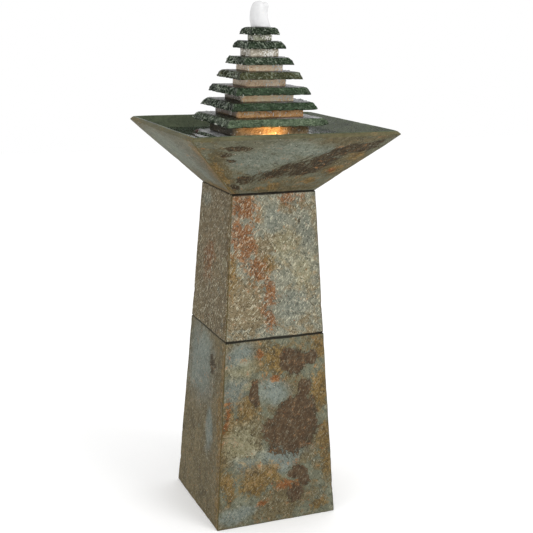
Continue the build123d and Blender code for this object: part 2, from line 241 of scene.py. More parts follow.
def colour(red, green, blue):
    """A display colour, 0 to 255 each, as the linear colour that shaders take."""
    linear = []
    for level in (red, green, blue):
        share = level / 255
        linear.append(share / 12.92 if share <= 0.04045 else ((share + 0.055) / 1.055) ** 2.4)
    return (*linear, 1)


def spread(tones, start, span):
    """Stops for a ramp: colours spread evenly from a start over a span."""
    return [(start + span * i / (len(tones) - 1), tone) for i, tone in enumerate(tones)]


class Paint:
    """A procedural material, built node by node on a Principled shader.

    Its tone is the colour so far. A field is a node's result, a plain number, or the name of a
    value of the mesh's points. A rough is a noise and how much of it is added to a field.
    """

    def __init__(self, name, **settings):
        self.tone = None
        self.material = bpy.data.materials.new(name)
        self.material.use_nodes = True
        self.tree = self.material.node_tree
        self.shader = self.tree.nodes["Principled BSDF"]
        for key, value in settings.items():
            self.shader.inputs[key.replace("_", " ")].default_value = value

    def put(self, socket, value):
        """Links a node's result to a socket, or sets the socket to a plain value."""
        if isinstance(value, bpy.types.NodeSocket):
            self.tree.links.new(value, socket)
        elif value is not None:
            socket.default_value = value

    def node(self, kind, **inputs):
        """A new shader node, with its inputs linked or set. Names have _ for a space."""
        made = self.tree.nodes.new("ShaderNode" + kind)
        for key, value in inputs.items():
            self.put(made.inputs[key.replace("_", " ")], value)
        return made

    def value(self, name, output="Fac"):
        """A named value of the mesh's points."""
        node = self.node("Attribute")
        node.attribute_name = name
        return node.outputs[output]

    def place(self, name=None, stretch=(1, 1, 1), turn=0):
        """A place to read noise at: a named vector of the mesh's points, or the object's own.

        It is turned about Y, in degrees, and then each axis is stretched.
        """
        start = self.value(name, "Vector") if name else self.node("TexCoord").outputs["Object"]
        mapping = self.node("Mapping", Vector=start)
        mapping.vector_type = "TEXTURE"
        mapping.inputs["Rotation"].default_value = (0, math.radians(turn), 0)
        mapping.inputs["Scale"].default_value = [1 / amount for amount in stretch]
        return mapping.outputs["Vector"]

    def noise(self, place, size, detail=4, roughness=0.6, distortion=0.0):
        """Fractal noise from 0 to 1 whose largest features are a size in millimetres."""
        return self.node(
            "TexNoise", Vector=place, Scale=1000 / size, Detail=detail, Roughness=roughness,
            Distortion=distortion,
        ).outputs["Fac"]

    def cells(self, place, size, feature="F1"):
        """Distance to the nearest of scattered points, a size apart in millimetres."""
        node = self.node("TexVoronoi")
        node.feature = feature
        self.put(node.inputs["Vector"], place)
        node.inputs["Scale"].default_value = 1000 / size
        return node.outputs["Distance"]

    def calc(self, operation, *values):
        """A sum on values, with Blender's name for it."""
        node = self.node("Math")
        node.operation = operation
        for socket, value in zip(node.inputs, values):
            self.put(socket, value)
        return node.outputs[0]

    def ragged(self, field, *roughs):
        """A field with roughs added."""
        for rough, amount in roughs:
            centred = self.calc("SUBTRACT", rough, 0.5)
            field = self.calc("MULTIPLY_ADD", centred, amount, field)
        return field

    def step(self, value, low, high, start=0.0, end=1.0):
        """start below low, end above high, and smooth between."""
        node = self.node(
            "MapRange", From_Min=low, From_Max=high, To_Min=start, To_Max=end, Value=value
        )
        node.interpolation_type = "SMOOTHSTEP"
        return node.outputs["Result"]

    def shows(self, field, low, high, most=1.0, *roughs):
        """How much of a layer shows, from none to most, as a field with roughs goes low to high."""
        field = self.value(field) if isinstance(field, str) else field
        return self.step(self.ragged(field, *roughs), low, high, 0.0, most)

    def ramp(self, value, *stops):
        """Colours along a value: each stop is a place from 0 to 1 and a colour."""
        node = self.node("ValToRGB", Fac=value)
        line = node.color_ramp.elements
        while len(line) < len(stops):
            line.new(0.5)
        for element, (where, tone) in zip(line, stops):
            element.position = where
            element.color = colour(*tone)
        return node.outputs["Color"]

    def shades(self, places, tones, *roughs):
        """Colours at places along an even field with roughs."""
        return self.ramp(self.ragged(0.5, *roughs), *zip(places, tones))

    def mix(self, share, first, second):
        """Two colours mixed by a share."""
        node = self.node("Mix")
        node.data_type = "RGBA"
        self.put(node.inputs["Factor"], share)
        for key, tone in (("A", first), ("B", second)):
            socket = next(one for one in node.inputs if one.name == key and one.type == "RGBA")
            self.put(socket, colour(*tone) if isinstance(tone, tuple) else tone)
        return next(one for one in node.outputs if one.type == "RGBA")

    def cover(self, share, tone):
        """Lays a colour over the tone so far."""
        self.tone = self.mix(share, self.tone, tone)

    def bump(self, *heights):
        """Bumps on the surface: each height is a value from 0 to 1 and its rise in millimetres."""
        below = None
        for height, rise in heights:
            node = self.node("Bump", Distance=rise * MM, Height=height, Normal=below)
            below = node.outputs["Normal"]
        self.put(self.shader.inputs["Normal"], below)

    def done(self, roughness=None):
        """Sets the shader's colour and roughness, and gives the material."""
        self.put(self.shader.inputs["Base Color"], self.tone)
        self.put(self.shader.inputs["Roughness"], roughness)
        return self.material


# --- Slate panels ------------------------------------------------------------------------------

# Where each colour lies on a panel's outside, in hundredths of the panel from its left end and its
# foot: (across, up, half width, half height), and then a turn in degrees where there is one.
MARKS = {
    "lower_front": {
        "plum": [
            (62, 52, 25, 14), (73, 62, 15, 8), (64, 43, 13, 5), (67, 87, 14, 7), (86, 87, 6, 4),
            (27, 71, 4, 7), (79, 72, 6, 5), (70, 26, 11, 4), (64, 14, 7, 5), (75, 20, 5, 5),
        ],
        "ochre": [
            (94, 68, 8, 11), (95, 90, 7, 7), (94, 41, 7, 9), (94, 29, 6, 6), (34, 28, 16, 6),
            (27, 22, 10, 5), (5, 50, 5, 16), (7, 24, 6, 7), (19, 64, 9, 7), (51, 88, 17, 8),
            (85, 6, 8, 3),
        ],
        "rust": [
            (57, 20, 10, 3), (35, 12, 3.5, 2), (32, 90, 3, 2), (46, 79, 10, 1.5), (3, 60, 2, 10),
        ],
        "blue": [
            (46, 72, 17, 6), (51, 37, 22, 5), (10, 74, 10, 8), (26, 33, 12, 5), (56, 32, 12, 4),
            (14, 92, 13, 6), (15, 8, 14, 5),
        ],
        "pale": [(20, 75, 4, 2), (22, 45, 16, 10), (15, 85, 12, 5)],
        "film": [(20, 45, 22, 14), (55, 12, 20, 8), (35, 95, 30, 5)],
    },
    "lower_left": {
        "blue": [(35, 80, 34, 20), (66, 50, 10, 12)],
        "dark": [(68, 84, 8, 4)],
        "ochre": [(97, 50, 5, 50)],
        "film": [(50, 50, 120, 120)],
    },
    "upper_front": {
        "rust": [
            (15, 91, 13, 9), (13, 71, 13, 12), (21, 59, 10, 8), (31, 48, 11, 8), (44, 31, 7, 10),
            (44, 16, 6, 9), (70, 97, 11, 6),
        ],
        "ochre": [(44, 50, 7, 7), (6, 45, 6, 10)],
        "pale": [(62, 62, 14, 11), (80, 45, 10, 12)],
        "dark": [(81, 80, 2, 2)],
        "blue": [(50, 82, 13, 9), (68, 22, 14, 10), (88, 72, 10, 12)],
        "film": [(20, 25, 22, 22), (40, 66, 18, 10), (70, 90, 20, 5)],
    },
    "upper_left": {
        "ochre": [(97, 50, 5, 50)],
        "blue": [(20, 90, 16, 6)],
        "pale": [(85, 52, 5, 4)],
        "film": [(50, 50, 160, 160)],
        "rust": [(40, 50, 10, 12)],
    },
    "basin_front": {
        "dark": [
            (10, 14, 6, 6, 22), (24, 26, 10, 7, 22), (40, 38, 11, 8, 20), (56, 47, 15, 15, 12),
            (70, 56, 11, 14, 25), (76, 72, 10, 10, 25), (88, 80, 14, 9, 12), (64, 38, 13, 6, 12),
            (11, 74, 5, 5, 30), (18, 84, 6, 5, 10), (96, 90, 4, 5), (15, 62, 3, 3, 30),
        ],
        "ochre": [
            (87, 40, 5, 6, 10), (78, 20, 6, 5), (44, 12, 5, 6), (3, 35, 3, 30), (93, 64, 4, 8),
        ],
        "rust": [(86, 38, 2, 3)],
        "film": [(6, 50, 8, 50), (90, 50, 10, 25), (55, 6, 40, 6)],
        "blue": [
            (27, 62, 13, 17), (48, 80, 16, 12), (42, 62, 10, 10), (30, 42, 8, 6), (60, 74, 10, 8),
        ],
    },
    "basin_left": {
        "blue": [(35, 60, 35, 30), (60, 30, 15, 15)],
        "ochre": [(96, 50, 5, 60), (60, 3, 40, 5)],
    },
}
# How much darker and browner a panel is than its section's others: painted shade, and a browner
# tint.
SHADED = {"upper_left": 0.42, "lower_left": 0.05, "basin_left": 0.06}
STAINS = ("plum", "ochre", "rust", "dark", "blue", "pale", "film")


def scattered_marks(seed):
    """Made-up marks for a panel that has none of its own: each stain is a few clumps of patches."""
    rng = np.random.default_rng(seed)
    marks = {}
    for stain, clumps, patches, reach in (
        ("plum", 1, 6, 0.13), ("ochre", 4, 3, 0.10), ("rust", 2, 4, 0.05), ("dark", 1, 3, 0.05),
        ("blue", 4, 2, 0.16), ("pale", 2, 2, 0.07), ("film", 3, 1, 0.25),
    ):
        marks[stain] = []
        for _ in range(clumps):
            middle = rng.uniform(0.1, 0.9, 2)
            for _ in range(patches):
                spot = middle + rng.uniform(-1.1, 1.1, 2) * reach
                size = rng.uniform(0.4, 1.3, 2) * reach * (1, 0.7)
                marks[stain].append((*spot, *size, rng.uniform(-30, 30)))
    return marks


def panel_marks(panel, seed):
    """A panel's marks as shares of it: its own, or scattered ones where it has none."""
    if panel not in MARKS:
        return scattered_marks(seed)
    return {
        stain: [(*(part / 100 for part in patch[:4]), *patch[4:]) for patch in patches]
        for stain, patches in MARKS[panel].items()
    }


def stain_field(patches, across, up):
    """How far inside the nearest patch a place is: 1 in its middle, 0 at its edge, then less."""
    field = np.full(len(across), -1.0)
    for middle, height, half, rise, *turn in patches:
        angle = math.radians(sum(turn))
        side, lift = across - middle, up - height
        along = math.cos(angle) * side + math.sin(angle) * lift
        over = math.cos(angle) * lift - math.sin(angle) * side
        field = np.maximum(field, 1 - np.hypot(along / half, over / rise))
    return field


def panel_edges(node, square_top):
    """A front panel's outer foot, outer top, inner top and inner foot, as (half width, height)."""
    points = mesh_points(node)
    half, height = -points[:, 1], points[:, 2]
    order = np.lexsort((half, height))
    inner_foot = np.array([half[order[0]], height[order[0]]])
    top = height > height.max() - 0.2 * MM
    inner_top = np.array([half[top].min(), height.max()])
    along = (inner_top - inner_foot) / np.linalg.norm(inner_top - inner_foot)
    outward = np.array([along[1], -along[0]])
    thickness = ((np.stack([half, height], axis=1) - inner_foot) @ outward).max()
    level = np.array([thickness / outward[0], 0])
    outer_top = inner_top + (outward * thickness if square_top else level)
    return inner_foot + level, outer_top, inner_top, inner_foot


def foot_notch(node):
    """Half the width and the height of the notch in the middle of a panel's foot, 0 if none."""
    points = mesh_points(node)
    foot = points[:, 2].min()
    above = points[:, 2] - foot
    near = (np.abs(points[:, 0]) < 40 * MM) & (above > 1 * MM) & (above < 60 * MM)
    if not near.any():
        return 0, 0
    return np.abs(points[near, 0]).max(), points[near, 2].max() - foot


CORNER_ROUND = 5.0 * MM
# Fine rows of a mesh next to an edge, so that it can be rounded and chipped.
EDGE_ROWS = np.array([0, 0.6, 1.3, 2.2, 3.4, 5.0, 7.5]) * MM


def slate_panel(section, side, seed, material, step, edge_round, relief, seams):
    """One wall panel: riven outside, chipped edges, a rounded mitred corner at each end.

    Step is the size of its mesh's cells. Seams says whether its foot and its top meet another
    section.
    """
    square_top = section == "basin"
    outer_foot, outer_top, inner_top, inner_foot = panel_edges(section + "_panel_front", square_top)
    tall = np.linalg.norm(outer_top - outer_foot)
    thick = np.linalg.norm(outer_foot - inner_foot)
    wide = 2 * max(outer_foot[0], outer_top[0])
    across = cuts(wide, step, EDGE_ROWS)
    notch_half, notch_top = foot_notch(f"{section}_panel_{side}")
    if notch_top:
        both = notch_half - 0.1 * MM, notch_half + 0.1 * MM
        sides = 0.5 + np.outer((-1, 1), both).ravel() / wide
        across = np.sort(np.concatenate([across, sides]))
    through = cuts(thick, 3 * MM, EDGE_ROWS[:5])
    up = cuts(tall, step, EDGE_ROWS[:6])
    index, quads = box_shell((len(across) - 1, len(through) - 1, len(up) - 1))
    a, t, u = (
        line[np.rint(index[:, axis] * (len(line) - 1)).astype(int)]
        for axis, line in enumerate((across, through, up))
    )
    grain = np.stack([(a - 0.5) * wide, t * thick, u * tall], axis=1) + 3.7 * seed
    # Edges along the foot and the top, rounded and chipped.
    depth, rise = t * thick, u * tall
    chip = step_up(fractal(grain, 0.045, 3, seed + 3), 0.25, 0.6)
    radius = edge_round * (1 + 0.35 * noise(grain, 0.02, seed + 5)) + 1.6 * MM * chip
    radius = radius + 3 * MM * np.exp(-np.minimum(a, 1 - a) * wide / (8 * MM))
    radius = np.minimum(radius, 0.48 * thick)
    middle_depth = np.clip(depth, radius, thick - radius)
    middle_rise = np.clip(rise, radius, tall - radius)
    offset = np.stack([depth - middle_depth, rise - middle_rise], axis=1)
    length = np.maximum(np.linalg.norm(offset, axis=1), 1e-9)
    beyond = (length > radius)[:, None]
    offset = np.where(beyond, offset * (radius / length)[:, None], offset)
    depth, rise = middle_depth + offset[:, 0], middle_rise + offset[:, 1]
    # Riven face: cleft layers, and a skin that stands a little prouder where it is plum.
    marks = panel_marks(f"{section}_{side}", seed + 40)
    warp = 0.10 * fractal(grain, 0.08, 4, seed + 9), 0.05 * fractal(grain, 0.07, 4, seed + 17)
    fields = {
        stain: stain_field(marks.get(stain, []), a + warp[0], u + warp[1]) for stain in STAINS
    }
    cleft = 0.5 + 0.5 * fractal(grain * (1, 1, 0.7), 0.11, 5, seed + 21)
    fine = fractal(grain, 0.014, 3, seed + 31)
    skin = step_up(fields["plum"] + 0.5 * fractal(grain, 0.02, 3, seed + 37), -0.1, 0.15)
    layers = 0.75 * terraces(cleft, 6, 0.35) + 0.25 * (1 - skin)
    outside = np.clip(1 - 2 * t, 0, 1)
    inside = np.clip(2 * t - 1, 0, 1)
    sunk = relief * (0.9 * layers + 0.16 * (fine + 1))
    # Corners: both panels turn in towards the same mitred arris.
    near_end = np.minimum(a, 1 - a)
    from_end = near_end * 2 * (outer_foot[0] + (outer_top[0] - outer_foot[0]) * u)
    place_up = np.stack([np.zeros_like(u), np.zeros_like(u), rise], axis=1)
    bend = CORNER_ROUND * (1 + 0.7 * fractal(place_up, 0.06, 4, 77)) + 4.0 * MM * step_up(
        fractal(place_up, 0.035, 3, 91), 0.1, 0.7
    )
    bend = bend + (0 if seams[1] else 5 * MM) * step_up(u, 0.75, 1.0)
    share = np.clip(1 - from_end / bend, 0, 1)
    turned_in = bend * (1 - np.cos(math.pi / 4 * share)) + 0.35 * MM * (share > 0.75)
    fade = np.clip(from_end / (8 * MM), 0.5, 1)
    depth = np.maximum(depth, turned_in) + sunk * outside * fade
    depth = depth - 0.5 * relief * (layers + 0.2 * fine) * inside
    if notch_top:
        in_notch = np.abs(a - 0.5) * wide < notch_half
        rise = np.where(in_notch, notch_top + rise * (tall - notch_top) / tall, rise)
    t, u = np.clip(depth / thick, 0, 1), rise / tall
    outer = outer_foot + (outer_top - outer_foot) * u[:, None]
    inner = inner_foot + (inner_top - inner_foot) * u[:, None]
    profile = outer + (inner - outer) * t[:, None]
    reach = -mesh_points(section + "_panel_front")[:, 1].min()
    half = np.minimum(profile[:, 0] - 0.2 * MM, reach - 0.1 * MM)
    points = turned(np.stack([(2 * a - 1) * half, -half, profile[:, 1]], axis=1), SIDES[side])
    fields["grain"] = grain
    fields["layer"] = layers
    at_edge = np.minimum(u, 1 - u) * tall < 4 * MM
    fields["wear"] = np.maximum(share, step_up(chip, 0.2, 0.8) * at_edge)
    fields["rim"] = step_up(u * tall, tall - 3 * MM, tall - 0.5 * MM) * (not seams[1])
    fields["rim"] *= 1.0 if side == "front" else 0.55
    # Painted shade along the foot and the top where a panel meets the next section, half as dark on
    # the left.
    gap = 5.0 * MM * (1 + 0.3 * noise(grain, 0.05, seed + 51))
    fields["seam_shade"] = np.maximum(
        seams[0] * step_up(-u * tall, -gap, -0.3 * gap),
        seams[1] * step_up((u - 1) * tall, -gap, -0.3 * gap),
    )
    fields["seam_shade"] *= 0.5 if side == "left" else 1.0
    fields["inside"] = step_up(t, 0.6, 0.9)
    fields["shade"] = np.full(len(a), SHADED.get(f"{section}_{side}", 0.0))
    piece = make_mesh(f"{section}_slate_{side}", points, quads, fields)
    body = "basin" if section == "basin" else section + "_pedestal"
    return place(piece, body, "slate_" + section, material, f"{section}_panel_{side}")


def panel_material(name, look):
    """Weathered slate: grey cleft ground under a thin ragged film, stains, grit and pale flecks."""
    paint = Paint(name, Specular_IOR_Level=0.1)
    grain = paint.place("grain")
    streaked = paint.place("grain", look["streak"])
    broad = paint.noise(streaked, 120, 5, 0.62, 0.5)
    cloud = paint.noise(streaked, 48, 7, 0.66, 0.8)
    mid = paint.noise(streaked, 20, 6, 0.70, 0.5)
    fine = paint.noise(grain, 8, 5, 0.72)
    grit = paint.noise(grain, 3.4, 4, 0.78)
    dust = paint.noise(paint.place("grain", (1.3, 1, 0.8)), 5.2, 4, 0.8)
    slanting = paint.noise(paint.place("grain", (0.45, 1, 2.6), -28), 16, 5, 0.7)

    even = (0.15, 0.5, 0.85)
    paint.tone = paint.shades(even, look["ground"], (mid, 1.3), (fine, 0.7), (grit, 0.4))
    film = paint.ragged(look["cover"], (broad, 2.2), (cloud, 2.4), (mid, 1.4), (fine, 0.8))
    film = paint.calc("SUBTRACT", film, paint.shows("blue", -0.2, 0.5, 0.9))
    for stain, most in (("ochre", 0.5), ("film", 0.6)):
        film = paint.calc("ADD", film, paint.shows(stain, -0.3, 0.5, most))
    film_tone = paint.shades(even, look["film"], (cloud, 1.4), (fine, 1.3), (grit, 0.5))
    paint.cover(paint.shows(film, -0.12, 0.22, look["film_most"]), film_tone)

    def stained(stain, tones, softness, rough, most, rim_shadow=0.0, torn=0.0):
        """Lays a stain where its marks are, perhaps rimmed by painted shadow, and gives its share.
        """
        field = paint.ragged(
            paint.value(stain), (cloud, 0.7 * rough), (mid, rough), (fine, 0.9 * rough),
            (grit, 0.5 * rough), (slanting, torn),
        )
        share = paint.step(field, -softness, softness, 0, most)
        shade = paint.shades((0.2, 0.55, 0.85), tones, (fine, 1.5), (mid, 0.9), (grit, 0.7))
        paint.cover(share, shade)
        # The dark rim is a painted shadow of the layer's edge round the patch.
        if rim_shadow:
            edge = paint.step(paint.calc("ABSOLUTE", field), 0.10, 0.02, 0.0, rim_shadow)
            paint.cover(paint.calc("MULTIPLY", edge, paint.step(cloud, 0.42, 0.54)), (40, 34, 26))
        return share

    stained("blue", look["blue"], 0.5, 1.6, look["clear"])
    stained("ochre", ((70, 52, 24), (118, 92, 48), (156, 130, 78)), 0.45, 3.0, 0.75)
    stained("pale", ((120, 116, 86), (150, 146, 116), (196, 192, 168)), 0.5, 2.6, 0.6)
    plum = stained("plum", ((44, 33, 22), (74, 58, 42), (106, 88, 64)), 0.05, 1.1, 0.97, 1.0)
    stained("dark", ((34, 27, 17), (56, 44, 29), (80, 66, 46)), 0.16, 1.1, 0.95, 0.3, 2.4)
    stained("rust", ((70, 34, 12), (122, 72, 34), (168, 122, 80)), 0.40, 4.6, 0.88)

    dark, light = look["dark_grit"], look["light_grit"]
    # Left panels: painted shade that darkens them towards brown, with a browner tint.
    paint.cover(paint.value("shade"), (62, 48, 22))
    # Painted shade: darker where the cleft layers are sunk deeper into the face.
    paint.cover(paint.shows("layer", 0.3, 0.9, 0.35, (fine, 0.6)), (58, 52, 38))
    paint.cover(paint.shows(grit, 0.46, 0.30, dark, (fine, 0.7)), (36, 31, 23))
    paint.cover(paint.shows(dust, 0.56, 0.72, light, (mid, 0.5)), look["grit"])
    # Pale strokes that rise to the right, and dark ones that fall.
    for turn, low, high, most, tone in (
        (38, 0.56, 0.66, light, look["grit"]), (-47, 0.44, 0.34, dark, (42, 37, 28)),
    ):
        strokes = paint.noise(paint.place("grain", (2.6, 1, 0.6), turn), 7.5, 3, 0.7)
        paint.cover(paint.shows(strokes, low, high, most, (grit, 0.3)), tone)
    edges = paint.cells(paint.place("grain", (1, 1, 1.6)), 30, "DISTANCE_TO_EDGE")
    cracked = paint.shows(cloud, 0.50, 0.62, 0.6, (fine, 0.6))
    paint.cover(paint.calc("MULTIPLY", paint.step(edges, 0.03, 0.0), cracked), (42, 36, 28))
    paint.cover(paint.shows(paint.cells(grain, 10), 0.10, 0.0, 0.8, (grit, 0.6)), (206, 198, 176))
    rusty = paint.shows(paint.cells(grain, 17), 0.08, 0.0, look["specks"], (fine, 0.7))
    paint.cover(rusty, (140, 72, 30))
    paint.cover(paint.calc("MULTIPLY", plum, 0.35), (76, 60, 44))
    paint.cover(paint.shows("wear", 0.35, 0.9, 0.65, (fine, 0.8)), (88, 78, 48))
    rim = paint.shades((0.2, 0.8), ((64, 60, 38), (106, 102, 74)), (cloud, 1.2), (fine, 0.9))
    paint.cover(paint.shows("rim", 0.3, 0.7, 0.7, (mid, 0.6)), rim)
    # Painted shade in the joints between sections.
    paint.cover(paint.shows("seam_shade", 0.2, 0.7, 0.9, (fine, 0.7)), (22, 20, 16))
    wet = paint.shows("inside", 0.3, 0.7, look["wet"])
    algae = paint.shades((0.2, 0.8), ((42, 50, 36), (88, 100, 76)), (cloud, 1.3), (fine, 0.8))
    paint.cover(wet, algae)
    paint.bump((broad, 2.0), (mid, 1.6), (fine, 0.9), (grit, 0.5))
    dry = paint.step(paint.ragged(0.5, (fine, 0.8)), 0.2, 0.8, 0.55, 0.85)
    return paint.done(paint.calc("MULTIPLY_ADD", wet, -0.45, dry))


# How each section's slate looks. Cover is how much of the ground its film hides.
LOOKS = {
    "lower": {
        "ground": ((82, 84, 72), (106, 108, 90), (136, 138, 120)),
        "film": ((66, 56, 38), (98, 86, 60), (126, 114, 84)),
        "cover": 0.05, "film_most": 0.9,
        "dark_grit": 0.5, "light_grit": 0.4, "grit": (160, 158, 136),
        "blue": ((96, 105, 101), (116, 125, 120), (138, 146, 139)), "clear": 0.75, "specks": 0.7,
        "streak": (1, 1, 1), "wet": 0.0,
    },
    "upper": {
        "ground": ((100, 102, 90), (128, 128, 112), (158, 156, 138)),
        "film": ((88, 72, 48), (120, 104, 76), (146, 132, 102)),
        "cover": -0.05, "film_most": 0.85,
        "dark_grit": 0.75, "light_grit": 0.7, "grit": (196, 192, 168),
        "blue": ((98, 104, 96), (120, 126, 116), (144, 148, 136)), "clear": 0.6, "specks": 0.8,
        "streak": (1, 1, 1.2), "wet": 0.0,
    },
    "basin": {
        "ground": ((84, 84, 68), (102, 102, 84), (124, 122, 104)),
        "film": ((66, 58, 38), (90, 80, 54), (110, 100, 74)),
        "cover": 0.0, "film_most": 0.85,
        "dark_grit": 0.5, "light_grit": 0.35, "grit": (150, 148, 126),
        "blue": ((94, 100, 90), (114, 121, 109), (138, 143, 130)), "clear": 0.85, "specks": 0.35,
        "streak": (0.45, 1, 1.5), "wet": 0.85,
    },
}

for section, seed, step, edge_round, relief, seams in (
    ("lower", 113, 3.2 * MM, 3.0 * MM, 2.2 * MM, (False, True)),
    ("upper", 122, 3.0 * MM, 3.0 * MM, 2.2 * MM, (True, True)),
    ("basin", 103, 3.2 * MM, 2.2 * MM, 1.8 * MM, (True, False)),
):
    coat = panel_material(section + "_slate", LOOKS[section])
    for turn, side in enumerate(SIDES):
        slate_panel(section, side, 7 * turn + seed, coat, step, edge_round, relief, seams)

# --- Tower of plates and spacers ---------------------------------------------------------------


def square_loop(half):
    """The corners of a level square, from the front left one, seen from above anticlockwise."""
    return [(-half, -half), (half, -half), (half, half), (-half, half)]


def plate_shell(node, outline_low, outline_high, middle, bore, step, edge_rows):
    """Skin of a plate with a round hole: points, quads, and how each point sits on the plate.

    The outlines and the middle are loops of as many corners; rings run between them.
    """
    low, high = (corner.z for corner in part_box(node))
    columns = {"low": [], "high": [], "middle": [], "run": []}
    travelled = 0.0
    for here in range(len(outline_low)):
        after = (here + 1) % len(outline_low)
        length = math.dist(outline_low[here], outline_low[after])
        count = max(2, round(length / step))
        share = np.arange(count) / count
        for key, loop in (("low", outline_low), ("high", outline_high), ("middle", middle)):
            start, end = np.array(loop[here]), np.array(loop[after])
            columns[key].append(start + (end - start) * share[:, None])
        columns["run"].append(travelled + share * length)
        travelled += length
    rings = {key: np.concatenate(parts) for key, parts in columns.items()}
    hole = rings["middle"] / np.linalg.norm(rings["middle"], axis=1)[:, None] * bore
    span = np.linalg.norm(rings["high"] - rings["middle"], axis=1).mean()
    inward = cuts(span * 2, 2 * step, np.array([0, 0.7, 1.6, 2.8, 4.2, 6.0, 8.0]) * MM)
    inward = 2 * inward[inward <= 0.5 + 1e-9]
    rows = []  # (plan, height, how far in from the rim, 1 on the edge face)
    for share in inward[::-1]:
        plan = rings["high"] + (rings["middle"] - rings["high"]) * share
        rows.append((plan, high, share * span, 0.0))
    for row in range(1, edge_rows):
        share = row / edge_rows
        plan = rings["high"] + (rings["low"] - rings["high"]) * share
        rows.append((plan, high + (low - high) * share, 0.0, 1.0))
    for share in inward:
        plan = rings["low"] + (rings["middle"] - rings["low"]) * share
        rows.append((plan, low, share * span, 0.0))
    for share in (0.5, 1.0):
        rows.append((rings["middle"] + (hole - rings["middle"]) * share, low, span, 0.0))
    rows.append((hole, (low + high) / 2, span, 0.0))
    for share in (1.0, 0.5):
        rows.append((rings["middle"] + (hole - rings["middle"]) * share, high, span, 0.0))
    count = len(hole)
    points = np.concatenate(
        [np.column_stack([plan, np.full(count, height)]) for plan, height, _, _ in rows]
    )
    inset = np.repeat([row[2] for row in rows], count)
    face = np.repeat([row[3] for row in rows], count)
    run = np.tile(rings["run"], len(rows))
    towards = np.tile(rings["middle"] - rings["low"], (len(rows), 1))
    towards /= np.linalg.norm(towards, axis=1)[:, None]
    index = np.arange(len(rows) * count).reshape(len(rows), count)
    below, beside = np.roll(index, -1, axis=0), np.roll(index, -1, axis=1)
    corner = np.roll(below, -1, axis=1)
    quads = np.stack([index, below, corner, beside], axis=-1).reshape(-1, 4)
    return points, quads, inset, face, run, towards


def chiselled_plate(node, material, seed, outlines, rough_front, maroon):
    """A slate plate whose rim is knapped: flake scars, ridges between them, and small teeth.

    Rough_front says how deep the front's flakes are, as a share of those on the other sides.
    """
    low, high = (corner.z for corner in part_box(node))
    points, quads, inset, face, run, towards = plate_shell(node, *outlines, 1.6 * MM, 11)
    tall = (points[:, 2] - low) / (high - low)
    near = np.exp(-inset / (4 * MM))
    spot = points + 1.9 * seed
    x, y, z = points.T
    forward = step_up(np.abs(y) - np.abs(x), -4 * MM, 4 * MM) * (y < 0)
    rough = 1 - (1 - rough_front) * forward
    # Flake scars lean to the right, so the ridges between them run down to the right.
    along, over = run + 0.7 * z + seed, z - 0.4 * run
    wide, wide_ridge = flakes(along, over, (0.011, 0.016), seed)
    small, small_ridge = flakes(along, over, (0.0052, 0.0075), seed + 2)
    beds = np.stack([0.12 * run, 0 * run, z], axis=1) + seed
    layer = 0.5 + 0.5 * noise(beds, 0.0032, seed + 13)
    hollow = np.maximum(1 - wide**2, 0)
    dent = np.maximum(1 - small**2, 0)
    plan = spot * (1, 1, 0)
    sway = 0.5 + 0.5 * fractal(plan, 0.03, 2, seed + 5)
    jag = fractal(plan, 0.017, 3, seed + 9)
    cut = rough * (4.6 * hollow + 2.0 * dent - 3.4) + 0.7 * layer
    cut += (0.6 + 1.6 * rough) * (sway - 0.5)
    cut += (2.4 + 3.0 * rough) * jag
    corner = np.exp(-np.abs(np.abs(x) - np.abs(y)) / (5 * MM))
    cut = (cut * (1 - 0.45 * corner) + 1.2 * corner * sway) * MM
    # The rim bulges between its narrow top and its wide foot, more in some places than others.
    wider = np.linalg.norm(np.array(outlines[0][0]) - outlines[1][0]) / math.sqrt(2)
    cut -= face * wider * (0.15 + 0.25 * sway) * 4 * tall * (1 - tall)
    moved = points.copy()
    moved[:, :2] += towards * (cut * near)[:, None]
    # Chips out of the top, teeth along the bottom, and a cleft top face.
    lump = 0.5 + 0.5 * fractal(plan, 0.016, 3, seed + 21)
    drop = (0.4 + 0.6 * rough) * (3.0 * hollow + 1.3 * dent + 5.6 * lump - 4.2) * MM * near
    drop += 0.5 * MM * step_up(fractal(spot, 0.03, 4, seed + 27), -0.2, 0.5) * (
        step_up(inset, 1 * MM, 7 * MM) * step_up(28 * MM - inset, 0, 10 * MM)
    )
    teeth = 7.0 * MM * np.maximum(fractal(plan, 0.014, 3, seed + 33), 0) * near
    moved[:, 2] += teeth * (1 - tall) - drop * tall
    ridge = np.maximum(
        step_up(0.34 - wide_ridge, 0, 0.34), 0.6 * step_up(0.34 - small_ridge, 0, 0.34)
    )
    ridge = ridge * (0.75 + 0.4 * noise(spot, 0.013, seed + 6))
    fields = {
        "grain": spot,
        # Ridge and hollow also place the material's painted highlights and painted shade.
        "ridge": ridge,
        "hollow": 0.6 * hollow + 0.4 * dent,
        "rimward": np.exp(-inset / (7 * MM)),
        # Top and bright set where the top face has a painted sheen, to the right, and painted
        # shade, to the left.
        "top": step_up(tall, 0.93, 1.0) * (1 - face) * step_up(inset, 0.5 * MM, 3 * MM),
        "rough": rough,
        "bright": step_up(x / outlines[1][1][0], -0.6, 0.8),
        "maroon": stain_field(maroon, x, y),
    }
    piece = make_mesh(node + "_riven", moved, quads, fields)
    return place(piece, "tower", "slate_plate", material, node)


